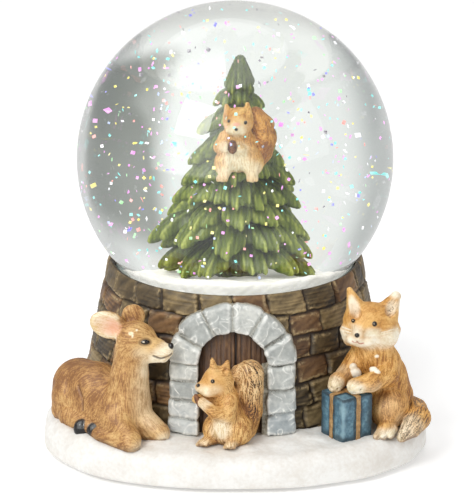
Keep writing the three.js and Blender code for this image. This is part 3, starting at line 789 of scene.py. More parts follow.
def build_wall():
    rng = np.random.default_rng(11)
    around = int(640 / COARSER)
    rows = int(112 / COARSER)
    angle = np.arange(around) * 2 * math.pi / around
    height = np.linspace(WALL_FOOT - 0.9, WALL_RIM, rows)
    a, z = np.meshgrid(angle, height)
    a, z = a.ravel(), z.ravel()
    tall = (WALL_RIM - WALL_FOOT) / COURSES
    radius = wall_radius(z)
    sway = 0.2 * np.sin(a * 7 + z / 6) + 0.14 * np.sin(a * 17 + 2)
    level = (z + sway - WALL_FOOT) / tall
    course = np.clip(np.floor(level), 0, COURSES - 1).astype(int)
    up = (level - course) * tall
    up = np.where(level < 0, 3.0, up)
    jitter = rng.uniform(-0.17, 0.17, (COURSES, PER_COURSE))
    turn = a / (2 * math.pi) * PER_COURSE + 0.035 * np.sin(z / 1.9 + course)
    left = np.full(len(a), 99.0)
    right = np.full(len(a), 99.0)
    brick = np.zeros(len(a), int)
    for k in range(-1, PER_COURSE + 1):
        start = k + 0.5 * (course % 2) + jitter[course, k % PER_COURSE]
        ahead = turn - start
        closer = (ahead >= 0) & (ahead < left)
        left = np.where(closer, ahead, left)
        brick = np.where(closer, k % PER_COURSE, brick)
        behind = -ahead
        right = np.where((behind > 0) & (behind < right), behind, right)
    wide = 2 * math.pi * radius / PER_COURSE
    left, right = left * wide, right * wide
    edge = np.minimum(np.minimum(left, right), np.minimum(up, tall - up))
    edge = np.where((course == COURSES - 1) & (tall - up < edge + 1e-9), np.minimum(left, right), edge)
    points = np.stack([a * radius, z, z * 0], 1)
    rough = lumps(points, 2.4, 21)
    edge = edge + 0.18 * rough
    raised = smoothstep(0.12, 0.75, edge)
    tilt = rng.uniform(-0.35, 0.35, (COURSES, PER_COURSE, 2))
    lift = rng.uniform(-0.22, 0.22, (COURSES, PER_COURSE))
    tone = rng.uniform(0, 1, (COURSES, PER_COURSE))
    red = rng.uniform(0, 1, (COURSES, PER_COURSE)) < 0.3
    face = lift[course, brick] + tilt[course, brick, 0] * (left - right) / 13
    face = face + tilt[course, brick, 1] * (up / tall - 0.5)
    scratch = np.sin(z * 5.2 + 2.2 * lumps(points * (0.35, 1, 1), 4.0, 8, 2) + tone[course, brick] * 9)
    scratch = scratch * smoothstep(-0.4, 0.5, lumps(points * (0.5, 1, 1), 5.0, 14, 2))
    surface = -0.95 + raised * (0.95 + face) + 0.1 * rough * raised + 0.09 * scratch * raised
    surface = np.minimum(surface, 0.45)
    x0, y0 = radius * np.cos(a), radius * np.sin(a)
    u, v = arch_plane(x0, z)
    inside = (y0 < 0) & (arch_radius(u, v) < ARCH_INNER + 0.6)
    surface = np.where(inside, -3.1, surface)
    fade = smoothstep(WALL_RIM - 1.1, WALL_RIM, z)
    surface = surface * (1 - 0.5 * fade) - 0.35 * fade
    r = radius + surface
    outer = np.stack([r * np.cos(a), WALL_Y + r * np.sin(a), z], 1)
    rings = [outer.reshape(rows, around, 3)]
    lip = [(39.4, WALL_RIM - 0.15), (38.75, WALL_RIM - 0.7)]
    seat = sphere_arc(51.2, -0.72, -0.84, 4)
    inner = lip + seat + [(33.5, 41.0), (40.0, 36.0), (41.3, WALL_FOOT - 0.9)]
    for ring_radius, ring_z in inner:
        ring = np.stack([ring_radius * np.cos(angle), WALL_Y + ring_radius * np.sin(angle),
                         np.full(around, ring_z)], 1)
        rings.append(ring[None])
    grid = np.concatenate(rings)
    total = len(grid)
    index = np.arange(total * around).reshape(total, around)
    after = np.roll(index, -1, 1)
    quads = np.stack([index, after, np.roll(after, -1, 0), np.roll(index, -1, 0)], 2).reshape(-1, 4)
    spare = total * around - len(a)

    def full(values, rest=0.0):
        return np.concatenate([values, np.full(spare, rest)])

    skin = Skin(grid.reshape(-1, 3), quads)
    # Painted highlight: a lighter band just inside each brick's edge, broken by noise.
    edge_highlight = smoothstep(0.25, 0.9, edge) * (1 - smoothstep(0.9, 1.9, edge))
    edge_highlight = edge_highlight * smoothstep(-0.3, 0.6, lumps(points, 3.2, 33))
    streak = 0.5 + 0.3 * scratch + 0.25 * rough
    sunk = 1 - smoothstep(0.08, 0.6, edge)
    paint = (full(np.clip(edge_highlight, 0, 1)), full(red[course, brick].astype(float)), full(a * 0))
    # Painted shade: the wall behind the door, and the drum's lip and inside, take the dark joint colour.
    relief = (full(np.clip(streak, 0, 1), 0.3), full(np.maximum(sunk, inside * 0.8), 0.7),
              full(tone[course, brick], 0.3))
    sculpt("bricks", skin, brick_paint(), "brick_paint", "brick_wall", paint, relief)


def wall_out(x, y, z):
    """Distance outwards from the wall's plain face."""
    return (np.hypot(x, y - WALL_Y) - wall_radius(z)) * math.cos(LEAN)


def build_arch():
    rng = np.random.default_rng(5)
    field = Field((-22.5, -46.5, 9.8), (21, -27, 54), 0.27)
    x, y, z = field.axes(field.everywhere())
    u, v = arch_plane(x, z)
    u = u + 0 * y
    v = v + 0 * y
    out = wall_out(x, y, z)
    ring = arch_radius(u, v)
    above = v > ARCH_SPRING
    splay = 0.7 * np.clip(1 - v / 20, 0, 1)
    middle = (ARCH_OUTER + ARCH_INNER) / 2
    angle = np.arctan2(np.maximum(v - ARCH_SPRING, 0), u)
    along_left = [0, 5.0, 10.6, 16.4, ARCH_SPRING + 0.6]
    along_right = [0, 6.6, 13.9, ARCH_SPRING + 0.2]
    fan = [i * math.pi / 6 for i in range(7)]
    stone = np.full(field.value.shape, 9.0, np.float32)
    number = np.zeros(field.value.shape, np.int8)
    count = 0

    def place(lengthwise, across_half, rise):
        nonlocal stone, number, count
        count += 1
        depth = out - (3.1 + rise)
        box = np.stack(np.broadcast_arrays(lengthwise, across_half, depth)) + 1.1
        gap = np.sqrt((np.maximum(box, 0) ** 2).sum(0)) + np.minimum(box.max(0), 0) - 1.1
        number = np.where(gap < stone, count, number)
        stone = np.minimum(stone, gap)

    for side, marks in ((-1, along_left), (1, along_right)):
        for low, high in zip(marks, marks[1:]):
            long = np.abs(v - (low + high) / 2) - (high - low) / 2 + 0.45
            wide = rng.uniform(-0.35, 0.35)
            across = np.abs(side * u - middle - wide / 2)
            across = across - (ARCH_OUTER - ARCH_INNER) / 2 - wide / 2 + 0.1 - splay / 2
            place(long, np.where(side * u > 0, across, 9), rng.uniform(-0.25, 0.45))
    for low, high in zip(fan, fan[1:]):
        long = (np.abs(angle - (low + high) / 2) - (high - low) / 2) * ring + 0.5
        wide = rng.uniform(-0.25, 0.45)
        across = np.abs(ring - middle - wide / 2) - (ARCH_OUTER - ARCH_INNER) / 2 - wide / 2 + 0.1
        place(np.where(above, long, 9), across, rng.uniform(-0.25, 0.45))
    mortar = np.maximum(np.abs(ring - middle) - (ARCH_OUTER - ARCH_INNER) / 2 + 0.35, out - 2.1)
    body = smooth_min(stone, mortar, 0.35)
    shy = 2.2 * smoothstep(ARCH_SPRING - 5, ARCH_SPRING, v)
    reveal = np.maximum(np.abs(ring - ARCH_INNER - 0.2) - 1.7, out - 1.3 - 0.3 * np.sin(v) + shy)
    body = np.minimum(body, np.where((u > 0) & (v < ARCH_SPRING), reveal, 9))
    body = np.maximum(body, -(out + 1.6))
    body = np.maximum(body, 10.4 - z)
    field.value = body.astype(np.float32)
    points, quads, held = nets(field)
    skin = Skin(points, quads, field, held)
    skin.relax(1)
    px, py, pz = skin.points.T
    index = np.round((skin.points - field.low) / field.step).astype(int)
    index = np.clip(index, 0, np.array(field.size) - 1)
    which = number[index[:, 0], index[:, 1], index[:, 2]]
    stone_gap = stone[index[:, 0], index[:, 1], index[:, 2]]
    on_stone = 1 - smoothstep(0.25, 0.7, stone_gap)
    own = skin.points + which[:, None] * 7.0
    chips = 1.2 * lumps(own, 4.6, 61, 2)
    fine = lumps(own, 2.6, 67, 2)
    ridge = np.exp(-(chips / 0.17) ** 2) * smoothstep(-0.5, 0.2, lumps(own, 3.0, 64, 2))
    swirl = np.exp(-((fine - 0.2) / 0.13) ** 2) * smoothstep(0.0, 0.5, lumps(own, 3.4, 65, 2)) * 0.8
    ridge = np.clip(ridge + swirl, 0, 1)
    skin.push(on_stone * (0.09 * ridge + 0.2 * np.tanh(chips * 1.5) + 0.09 * fine))
    hollow = skin.hollow(6)
    tone = rng.uniform(0, 1, count + 1)[which]
    blue = smoothstep(26, 14, pz) * 0.35
    # Pale along the white veins, and on raised rims and ridges: painted highlight. The sunk channel darkens
    # the joints, and the stones' hollows with painted shade.
    light = np.clip(0.26 * ridge * on_stone + 1.0 * ramp01(-hollow, 0.015, 0.085), 0, 1)
    reveal = smoothstep(ARCH_INNER + 0.45, ARCH_INNER - 0.1, arch_radius(*arch_plane(px, pz)))
    reveal = np.maximum(reveal, smoothstep(1.7, 0.6, wall_out(px, py, pz)))
    paint = (light * (1 - reveal), np.maximum((1 - on_stone) * 0.85, reveal * 0.8), blue)
    relief = (0 * tone, ramp01(hollow, 0.02, 0.13), tone)
    sculpt("arch_stones", skin, stone_paint(), "stone_paint", "stone_arch", paint, relief)


def build_door():
    field = Field((-13, -42, 10.4), (12, -30, 45), 0.27)
    x, y, z = field.axes(field.everywhere())
    u, v = arch_plane(x, z)
    out = wall_out(x, y, z)
    plank = 3.05
    offset = np.abs(((u + 0.35 + plank * 20) % plank) - plank / 2)
    groove = smoothstep(plank / 2 - 0.38, plank / 2, offset)
    middle = 1 - smoothstep(0.1, 0.55, np.abs(u - 1.0))
    grain = 0.1 * np.sin(u * 7.3 + 0.6 * np.sin(v / 3)) * np.sin(u * 3.1 + v / 9 + 1)
    face = -1.35 - 0.18 * groove - 0.8 * middle + grain + 0 * y
    body = np.maximum(out - face, -(out + 2.9))
    body = np.maximum(body, arch_radius(u, v) - (ARCH_INNER + 0.2))
    body = np.maximum(body, 10.7 - z)
    field.value = body.astype(np.float32)
    skin = Skin(*nets(field)[:2], field)
    skin.relax(1)
    px, _, pz = skin.points.T
    pu, pv = arch_plane(px, pz)
    near = np.abs(((pu + 0.35 + plank * 20) % plank) - plank / 2)
    sunk = np.maximum(0.45 * smoothstep(plank / 2 - 0.42, plank / 2 - 0.05, near),
                      1 - smoothstep(0.1, 0.5, np.abs(pu - 1.0)))
    # Painted shade: the door darkens towards the arch, where it sits back under the stones.
    sunk = np.maximum(sunk, smoothstep(ARCH_INNER - 2.2, ARCH_INNER + 0.3, arch_radius(pu, pv)) * 0.8)
    # The grain's ridges are lighter and its hollows darker: painted light and shade.
    relief = (0.5 + 3 * skin.hollow(4) * -1, sunk, 0.5 * np.ones(len(px)))
    sculpt("door_planks", skin, door_paint(), "door_paint", "wood_door", (px * 0, px * 0, px * 0), relief)


# --- Globe -------------------------------------------------------------------------------------

def build_globe():
    top = math.pi / 2
    neck, bore, floor = 31.0, 28.5, 36.0
    inner = GLOBE_RADIUS - GLASS
    outside = sphere_arc(GLOBE_RADIUS, top, -math.acos(neck / GLOBE_RADIUS), 72)
    inside = sphere_arc(inner, -math.acos(bore / inner), top, 72)
    profile = outside + [(neck, 44), (neck, 40), (neck, floor + 0.4), (30.6, floor), (28.9, floor),
                         (bore, floor + 0.4), (bore, 40)] + inside
    lathe("globe", profile, clear("globe_glass", 1.5), "globe_glass", "glass_globe", around=160)
    wet = inner + 0.02
    low = 46.8
    edge = -math.asin((GLOBE_Z - low) / wet)
    profile = sphere_arc(wet, top, edge, 72) + [(0, low)]
    lathe("liquid", profile, clear("liquid", 1.333), "liquid", "liquid_fill", around=160)
    rubber = plain_paint("stopper_rubber", (176, 172, 160), (188, 184, 172), (200, 196, 186), 4.0, 0.75)
    sealant = plain_paint("sealant", (120, 128, 122), (140, 148, 142), (158, 164, 158), 3.0, 0.35)
    lathe("stopper", [(2.2, 46), (27.2, 46), (27.6, 45.6), (27.6, 42.6), (28.2, 42.3), (28.2, 41.7),
                      (27.6, 41.4), (27.6, 35.7), (30.7, 35.7), (31, 35.4), (31, 33.6), (30.7, 33.3),
                      (2.2, 33.3), (2.2, 46)], rubber, "stopper_rubber", "neck_stopper")
    lathe("filling_pin", [(0, 45), (1.6, 45), (1.9, 44.6), (1.9, 33), (3.8, 33), (4, 32.8), (4, 31.8),
                          (3.8, 31.6), (0, 31.6)], rubber, "stopper_rubber", "stopper_filling_pin",
          around=32)
    lathe("neck_bead", [(31.3, 38), (32.1, 37.4), (32.7, 36.3), (32.9, 35.2), (32.3, 34), (31.3, 33.2),
                        (31.3, 38)], sealant, "sealant", "neck_seal_bead")
    outer = sphere_arc(50.9, -0.85, -0.72, 5)
    near = sphere_arc(50.35, -0.72, -0.85, 5)
    lathe("seat_seal", near + outer + near[:1], sealant, "sealant", "globe_seat_seal")


def build_island():
    field = Field((-29.5, -21, 45.6), (29.5, 38, 60.5), 0.4)
    x, y, z = field.axes(field.everywhere())
    r = np.hypot(x, y - WALL_Y)
    top = 57.1 + 0.45 * np.sin(x / 4.2) * np.cos(y / 3.6) + 0.25 * np.sin(x / 1.9 + y / 2.3)
    bound = 46.75 - np.hypot(r, z - GLOBE_Z)
    edge = 1.6
    side, high = r - 27.6 + edge, z - top + edge
    body = np.where((side > 0) & (high > 0), np.hypot(side, high) - edge, np.maximum(side, high) - edge)
    body = np.maximum(body, -bound)
    body = np.maximum(body, 46.3 - z)
    field.value = body.astype(np.float32)
    skin = Skin(*nets(field)[:2], field)
    skin.relax(2)
    skin.push(0.15 * lumps(skin.points, 1.8, 13) * (skin.points[:, 2] > 48))
    material = snow_paint("island_paint", (252, 251, 244), (238, 238, 226), 0.28)
    make("island", skin.points, skin.quads, material, "island_paint", "snow_island")


# Each fan of the pine: the height and reach of its tip, its heading in degrees and its half width.
SIDE_FANS = [(98.6, 6.4, 184, 2.8), (91.2, 10.2, 182, 4.2), (83.4, 11.6, 178, 4.4), (78.8, 12.6, 188, 4.6),
             (74.4, 14.8, 182, 4.8), (70.8, 15.8, 176, 5.2), (65.0, 20.4, 185, 6.2), (97.8, 6.2, 352, 2.8),
             (90.6, 9.2, 356, 3.8), (83.4, 11.2, 352, 4.2), (78.6, 13.8, 356, 4.6), (73.4, 15.0, 350, 4.8),
             (66.4, 16.4, 354, 5.4), (61.2, 18.4, 350, 6.2)]
# The two boughs that the squirrel sits on.
SEAT_FANS = [(75.8, 15.4, 272, 5.8), (81.4, 13.8, 269, 4.8)]
# Each ring of fans between them: the height and reach of its tips, how many and their half width.
FAN_TIERS = [(56.2, 18.4, 10, 6.2), (63.2, 16.8, 9, 5.9), (69.6, 15.0, 8, 5.5), (75.4, 13.3, 8, 5.1),
             (81.0, 11.5, 7, 4.7), (86.6, 9.6, 7, 4.1), (92.2, 7.7, 6, 3.5), (98.0, 5.2, 6, 2.5)]


def fan(tip_z, reach, heading, half, rng):
    """A drooping branch: a ridged fan running out and down from the trunk, jagged at its tip."""
    c, s = math.cos(math.radians(heading)), math.sin(math.radians(heading))
    rise = reach * rng.uniform(0.36, 0.48) + 0.5
    ridges = rng.integers(6, 9)
    phase = rng.uniform(0, 6)
    thick = 1.0 + 0.1 * reach
    skew = rng.uniform(-0.25, 0.25)
    lean = 1.3 * (tip_z - 60) / 50

    def parts(x, y, z):
        along = c * (x - lean) + s * (y - WALL_Y)
        across = -s * (x - lean) + c * (y - WALL_Y) - skew * along * along / reach * 0.3
        far = np.clip(along / reach, 0, 1.2)
        width = half * (0.35 + 0.65 * np.clip(far / 0.8, 0, 1))
        q = across / width
        wave = np.cos(q * ridges * 1.5 + phase + 0.5 * np.sin(along * 0.8 + phase))
        wave = 0.55 * wave + 0.45 * np.cos(q * ridges * 3.3 + phase * 2 + along * 0.3)
        end = reach * (1 - 0.46 * q * q + 0.04 * wave)
        close = np.clip((along / end - 0.74) / 0.26, 0, 1.6)
        middle = tip_z + thick * 0.3 + rise * (1 - far ** 1.5) - 0.2 * half * q * q
        return along, across, z - middle, width, wave, close

    def distance(x, y, z):
        along, across, up, width, wave, close = parts(x, y, z)
        tall = thick * (1 + 0.03 * wave) * np.where(up > 0, 1.0, 0.8)
        tall = tall * (1.15 - 0.35 * np.clip(along / reach, 0, 1))
        k = np.sqrt((across / width) ** 2 + (up / tall) ** 2 + np.minimum(close, 1.4) ** 2)
        inside = (k - 1) * thick * 0.8
        return np.maximum(inside, -along - 1)

    reach_all = reach + 2
    low = np.array((min(0, c) * reach_all - half - 1, WALL_Y + min(0, s) * reach_all - half - 1, tip_z - 4))
    high = np.array((max(0, c) * reach_all + half + 1, WALL_Y + max(0, s) * reach_all + half + 1,
                     tip_z + rise + 5))
    return (low, high, distance), parts


def build_tree():
    rng = np.random.default_rng(3)
    field = Field((-24, -14, 56.5), (24, 32, 113), 0.36)
    field.add(cone((0, WALL_Y, 60, 5.8), (0.6, WALL_Y, 84, 5.6)), 0.5)
    field.add(cone((0.6, WALL_Y, 84, 5.4), (1.2, WALL_Y, 106, 1.4)), 0.5)
    tips = list(SIDE_FANS)
    for ring, (z, reach, count, half) in enumerate(FAN_TIERS):
        for i in range(count):
            heading = (i + 0.5 * (ring % 2) + rng.uniform(-0.14, 0.14)) * 360 / count
            tips.append((z + rng.uniform(-1.2, 2.4), reach * rng.uniform(0.9, 1.07), heading,
                         half * rng.uniform(0.88, 1.16)))
    tips += SEAT_FANS
    fans = [fan(*tip, rng) for tip in tips]
    for shape, _ in fans:
        field.add(shape, 0.12)
    field.add([cone((1.3, WALL_Y, 110.4, 1.4), (1.1 + 2.5 * math.cos(t), WALL_Y + 2.5 * math.sin(t),
                                                103.7 + 0.8 * math.sin(3 * t), 1.35))
               for t in np.arange(0.4, 6.4, 0.9)], 0.06)
    field.keep(lambda x, y, z: (57.0 - z) + 0 * y + 0 * x, 0.2)
    points, quads, held = nets(field)
    skin = Skin(points, quads, field, held)
    skin.relax(1)
    best = np.full(len(skin.points), 99.0)
    groove, tip, tone = (np.zeros(len(skin.points)) for _ in range(3))
    for (_, _, distance), parts in fans:
        gap = distance(*skin.points.T)
        _, _, up, _, wave, close = parts(*skin.points.T)
        closer = gap < best
        best = np.where(closer, gap, best)
        groove = np.where(closer, wave, groove)
        tip = np.where(closer, np.clip(close, 0, 1) * smoothstep(-0.6, 0.8, up + 0.6), tip)
        tone = np.where(closer, rng.uniform(0, 1), tone)
    fine = np.sin(skin.points[:, 0] * 6.1 + 2 * lumps(skin.points, 3, 5, 2)) * 0.5
    skin.push(0.19 * groove + 0.03 * fine)
    hollow = skin.hollow(14)
    # Painted shade in the deep creases under the tiers; painted highlight on the ridges, most on the tips'
    # upper sides, which also get a lighter tone.
    sunk = ramp01(hollow, 0.12, 0.7)
    light = smoothstep(0.3, 1.0, groove + 0.4 * fine) * (0.1 + 0.8 * tip)
    relief = (np.clip(0.5 + 0.3 * groove + 0.3 * fine, 0, 1), sunk, 0.35 * tone + 0.65 * tip)
    sculpt("tree", skin, pine_paint(), "pine_paint", "pine_tree", (np.clip(light, 0, 1), tip, tip * 0),
           relief)


GLITTER_COUNT = 820
# How far from the globe's middle the flakes float.
GLITTER_REACH = 45.4


def build_glitter():
    """Flakes strewn through the liquid, clear of the island and of the tree's cone."""
    rng = np.random.default_rng(77)
    hues = [srgb(110, 220, 215), srgb(225, 130, 220), srgb(240, 225, 90), srgb(240, 140, 130),
            srgb(245, 245, 250), srgb(90, 90, 220), srgb(150, 225, 150), srgb(90, 84, 96),
            srgb(170, 190, 235)]
    share = np.array([0.2, 0.2, 0.12, 0.1, 0.14, 0.04, 0.06, 0.07, 0.07])
    points, faces, paint = [], [], []
    made = 0
    while made < GLITTER_COUNT:
        at = rng.uniform(-GLITTER_REACH, GLITTER_REACH, 3)
        r = math.hypot(at[0], at[1])
        z = at[2] + GLOBE_Z
        tree = 22.5 * (113 - z) / 52
        if np.linalg.norm(at) > GLITTER_REACH or z < 58.2 or r < tree:
            continue
        made += 1
        size = rng.choice([0.24, 0.33, 0.42])
        turn = np.array(Euler(rng.uniform(0, math.tau, 3)).to_matrix())
        centre = np.array((at[0], at[1] + WALL_Y, z))
        colour = hues[rng.choice(len(hues), p=share)]
        first = len(points)
        for side in (-0.05, 0.05):
            for x, y in ((-1, -1), (1, -1), (1, 1), (-1, 1)):
                points.append(centre + turn @ np.array((x * size, y * size, side)))
                paint.append(colour)
        for face in ((3, 2, 1, 0), (4, 5, 6, 7), (0, 1, 5, 4), (1, 2, 6, 5), (2, 3, 7, 6), (3, 0, 4, 7)):
            faces.append([first + i for i in face])
    paint = np.array(paint)
    make("glitter", points, faces, glitter_paint(), "glitter", colours={"paint": paint.T}, smooth=False)


# --- Animals -----------------------------------------------------------------------------------

def ground(field, low=BURIED):
    field.keep(lambda x, y, z: low - z + 0 * x + 0 * y)


def clear_of_wall(field, gap=-0.4):
    field.keep(lambda x, y, z: gap - wall_out(x, y, z), 0.2)


def groomed(field, bones, length, width, depth, bare, seed, reach=2.5, relax=1):
    """The skin of a figure with its fur engraved, how high each point is, and its painted shade: how sunk it
    is, and darker where it meets the snow.
    """
    points, quads, held = nets(field)
    skin = Skin(points, quads, field, held)
    skin.relax(relax)
    lock = skin.combed(skin.flow(bones, reach), length, width, seed)
    furry = 1 - skin.within(bare, 0.4)
    skin.push((lock - 0.5) * depth * furry)
    # Painted shade: darker in the hollows, and darker again where the figure meets the snow.
    sunk = ramp01(skin.hollow(10), 0.05, 0.34)
    foot = skin.points[:, 2] + 0.5 * lumps(skin.points, 1.5, 61)
    sunk = np.maximum(sunk, 0.75 * smoothstep(12.7, 11.7, foot))
    return skin, 0.5 + (lock - 0.5) * (0.25 + 0.75 * furry), sunk


def eye(field, at, radius, squash=(1, 1, 1)):
    """A painted eye standing a little proud, where the camera's line meets the face."""
    centre = field.seen(at)
    return centre, egg(centre, [radius * s for s in squash])


def build_fawn():
    f = Field((-60.5, -56, 10.2), (-15.5, -10, 54), 0.26)
    f.add(chain((-48.6, -20.6, 19.8, 8.5), (-42.8, -27, 20.9, 7.7), (-35, -35.6, 18.8, 7.6)), 3)
    f.add(cone((-49.6, -23.6, 14.6, 7.0), (-35.4, -40, 14.2, 6.6)), 3)
    f.add(chain((-32.6, -37.2, 20.5, 7.2), (-32.2, -36.8, 28.6, 5.6), (-31.4, -36.2, 36.5, 5.2)), 1.6)
    f.add(egg((-30.2, -36, 41), (5.7, 5.3, 5.3), (0, 10, 0)), 2)
    f.add(egg((-25.2, -37.8, 38.6), (4.8, 3.6, 3.4), (0, 12, 0)), 1.4)
    f.add(cone((-23.6, -38.6, 38.4, 2.9), (-20.9, -39.4, 38.1, 2.3)), 0.8)
    f.add(cone((-26.8, -37, 36.8, 3.5), (-21.8, -39, 36.1, 1.8)), 1.0)
    f.add(egg((-27, -35.6, 42.4), (3.2, 3.4, 2.0), (0, 28, 0)), 1.0)
    f.add(egg((-38.3, -35.4, 45.0), (6.0, 1.5, 4.3), (4, 26, 8)), 0.7)
    f.add(cone((-34.2, -36, 43, 2.4), (-36, -35.8, 44.2, 1.6)), 1)
    f.cut(egg((-38.7, -37.2, 45.2), (4.8, 1.6, 3.1), (4, 26, 8)), 0.4)
    f.add(egg((-31.0, -31.8, 46.6), (3.6, 1.5, 3.6), (-12, 16, 0)), 0.8)
    f.cut(egg((-31.4, -33.6, 47.6), (2.5, 0.7, 1.9), (-12, -10, 0)), 0.5)
    f.add(egg((-50.6, -24.6, 17.6), (6.6, 6.4, 7.4), (0, 0, 30)), 0.7)
    f.add(chain((-50.4, -28.4, 13.4, 4.2), (-48.2, -31.4, 13.0, 3.0)), 0.8)
    f.add(chain((-36.6, -41.4, 17.0, 4.4), (-31.6, -49.4, 13.4, 3.4)), 1.4)
    f.add(chain((-31.5, -51.0, 12.3, 3.1), (-40.4, -43.4, 12.5, 2.5), (-44.2, -39.0, 12.4, 2.0)), 0.4)
    f.add(chain((-28.8, -39.6, 16.4, 4.2), (-22.8, -43.8, 13.4, 3.0)), 1.4)
    f.add(chain((-22.8, -44.0, 12.8, 2.8), (-27, -42.5, 12.4, 2.2)), 0.5)
    hooves = [egg((-46.6, -39.0, 12.4), (2.8, 2.2, 3.2), (0, -16, 0)),
              egg((-42.2, -41.0, 12.9), (3.0, 2.1, 2.4), (0, 14, 0))]
    f.add(cone((-51.0, -31.6, 13.6, 3.4), (-44.4, -39.4, 13.4, 2.3)), 0.5)
    f.add(cone((-53.0, -25.6, 13.8, 4.2), (-49.4, -31.4, 13.2, 3.4)), 0.8)
    f.add(hooves, 0.15)
    arc = [f.seen(p) for p in ((-49.6, -38, 28.4), (-47.8, -38, 26.2), (-46.6, -38, 22.4),
                               (-46.5, -38, 18.4))]
    thigh = chain(*[(*p, 0.34) for p in arc])
    f.cut(thigh, 0.6)
    mouth = [f.seen(p) for p in ((-24.6, -40, 36.6), (-22.6, -40, 35.9), (-20.6, -40, 36.3),
                                 (-19.2, -39, 37.0))]
    lips = chain(*[(*p, 0.28) for p in mouth])
    f.cut(lips, 0.3)
    at, ball = eye(f, (-27.2, -40, 41.2), 1.0, (1.45, 0.8, 0.68))
    f.add(ball, 0.12)
    nose_at = f.seen((-19.7, -39, 39.4))
    nose = egg(nose_at + (0.35, 0.3, 0.1), (0.85, 1.1, 0.95), (0, -20, 0))
    f.add(nose, 0.3)
    # Painted highlight: a white glint in the eye.
    glint = egg(f.seen(at + (-0.35, -0.6, 0.15)), (0.34, 0.5, 0.2))
    ground(f)
    clear_of_wall(f)
    bare = [egg(at, (2.2, 1.6, 1.4)), nose] + hooves
    bones = [((-30, -36, 42), (-31.6, -36, 34)), ((-22, -39, 38), (-30, -37, 41)),
             ((-32, -36, 34), (-36, -34, 24)), ((-31, -41, 34), (-32, -43, 18)),
             ((-36, -32, 24), (-49, -19, 21)), ((-49, -19, 22), (-56, -20, 14)),
             ((-36, -40, 17), (-31, -47, 13)), ((-30, -51, 13), (-42, -40, 12)),
             ((-50, -26, 20), (-48, -30, 12)), ((-29, -39, 17), (-23, -44, 13)),
             ((-34, -36, 43), (-43, -35, 47)), ((-31, -33, 44), (-32, -31, 51))]
    skin, lock, sunk = groomed(f, bones, 0.9, 0, 0.09, bare, 101)
    x, y, z = skin.points.T
    inner_ear = skin.within(egg((-38.7, -37.4, 45.2), (4.7, 2.3, 3.0), (4, 26, 8)), 0.7)
    rim = skin.within(egg((-38.8, -36.6, 45.1), (6.5, 2.0, 4.7), (4, 26, 8)), 0.5)
    rim = rim * smoothstep(-34.2, -36.6, x) * (y < -35.4)
    muzzle = skin.within(cone((-22.6, -39.6, 36.8, 3.2), (-20.2, -39.6, 38.0, 2.9)), 1.2)
    throat = skin.within(cone((-26, -38, 35.0, 2.6), (-28, -38.6, 32.6, 2.2)), 2.2)
    chest = skin.within(egg((-26.2, -42, 23), (4.4, 6, 10.5), (0, -6, 0)), 3.4) * 0.32
    knee = skin.within([egg((-30.4, -51.4, 11.6), (3.2, 2.6, 2.0)),
                        egg((-21.6, -45.4, 11.8), (2.4, 2.4, 2.4))], 1.4) * 0.7
    cheek = skin.within(egg((-28.2, -41.4, 37.8), (2.6, 2, 1.9)), 1.6) * 0.3
    fleck = skin.within([egg(f.seen((-31.4, -40, 43.9)), (0.8, 0.9, 0.45)),
                         egg(f.seen((-30.9, -40, 43.4)), (0.35, 0.9, 0.8)),
                         egg(f.seen((-29.6, -40, 45.0)), (0.3, 0.5, 0.3))], 0.2)
    painted_glint = skin.within(glint, 0.08)
    pale = np.clip(0.95 * muzzle + throat * 0.7 + chest + knee + cheek + rim * 0.9 + fleck + painted_glint
                   + inner_ear * 0.8, 0, 1)
    dark = np.clip(skin.within(ball, 0.1, 0.12) * (1 - 0.8 * painted_glint) + skin.within(lips, 0.14, 0.1) * 0.3
                   + skin.within(nose, 0.14, 0.1) + skin.within(hooves, 0.2, 0.2), 0, 1)
    lid = skin.within(egg(at, (2.1, 1.4, 1.1)), 0.25, 0.1) * (1 - skin.within(ball, 0.12, 0.16))
    sunk = np.clip(sunk + 0.8 * lid + 0.8 * skin.within(lips, 0.12, 0.1)
                   + 0.8 * skin.within(thigh, 0.3, 0.1), 0, 1)
    haunch = 0.2 * smoothstep(34, 46, -x + (24 - z) * 0.2) * smoothstep(12, 22, z)
    tone = 0.5 + 0.16 * smoothstep(-34, -26, x) - haunch
    tone = tone - 0.14 * skin.within(egg((-30, -34, 46), (5, 5, 3.5)), 2)
    tone = tone + 0.2 * skin.within(egg((-25.5, -39, 38.5), (5, 3, 3.2)), 2)
    tone = tone + 0.22 * skin.within(egg((-52, -31, 19), (3.4, 3, 5)), 2)
    material = fur_paint("fawn_paint", (128, 84, 42), (180, 134, 78), (214, 176, 116),
                         (250, 240, 214), (222, 192, 138), (18, 15, 14), (226, 158, 126),
                         (96, 62, 30), strokes=0.26)
    sculpt("fawn_figure", skin, material, "fawn_paint", "fawn",
           (pale, dark, inner_ear * (0.25 + 0.65 * smoothstep(-42.5, -35.5, x + 0.5 * (45 - z)))),
           (lock, sunk, tone))


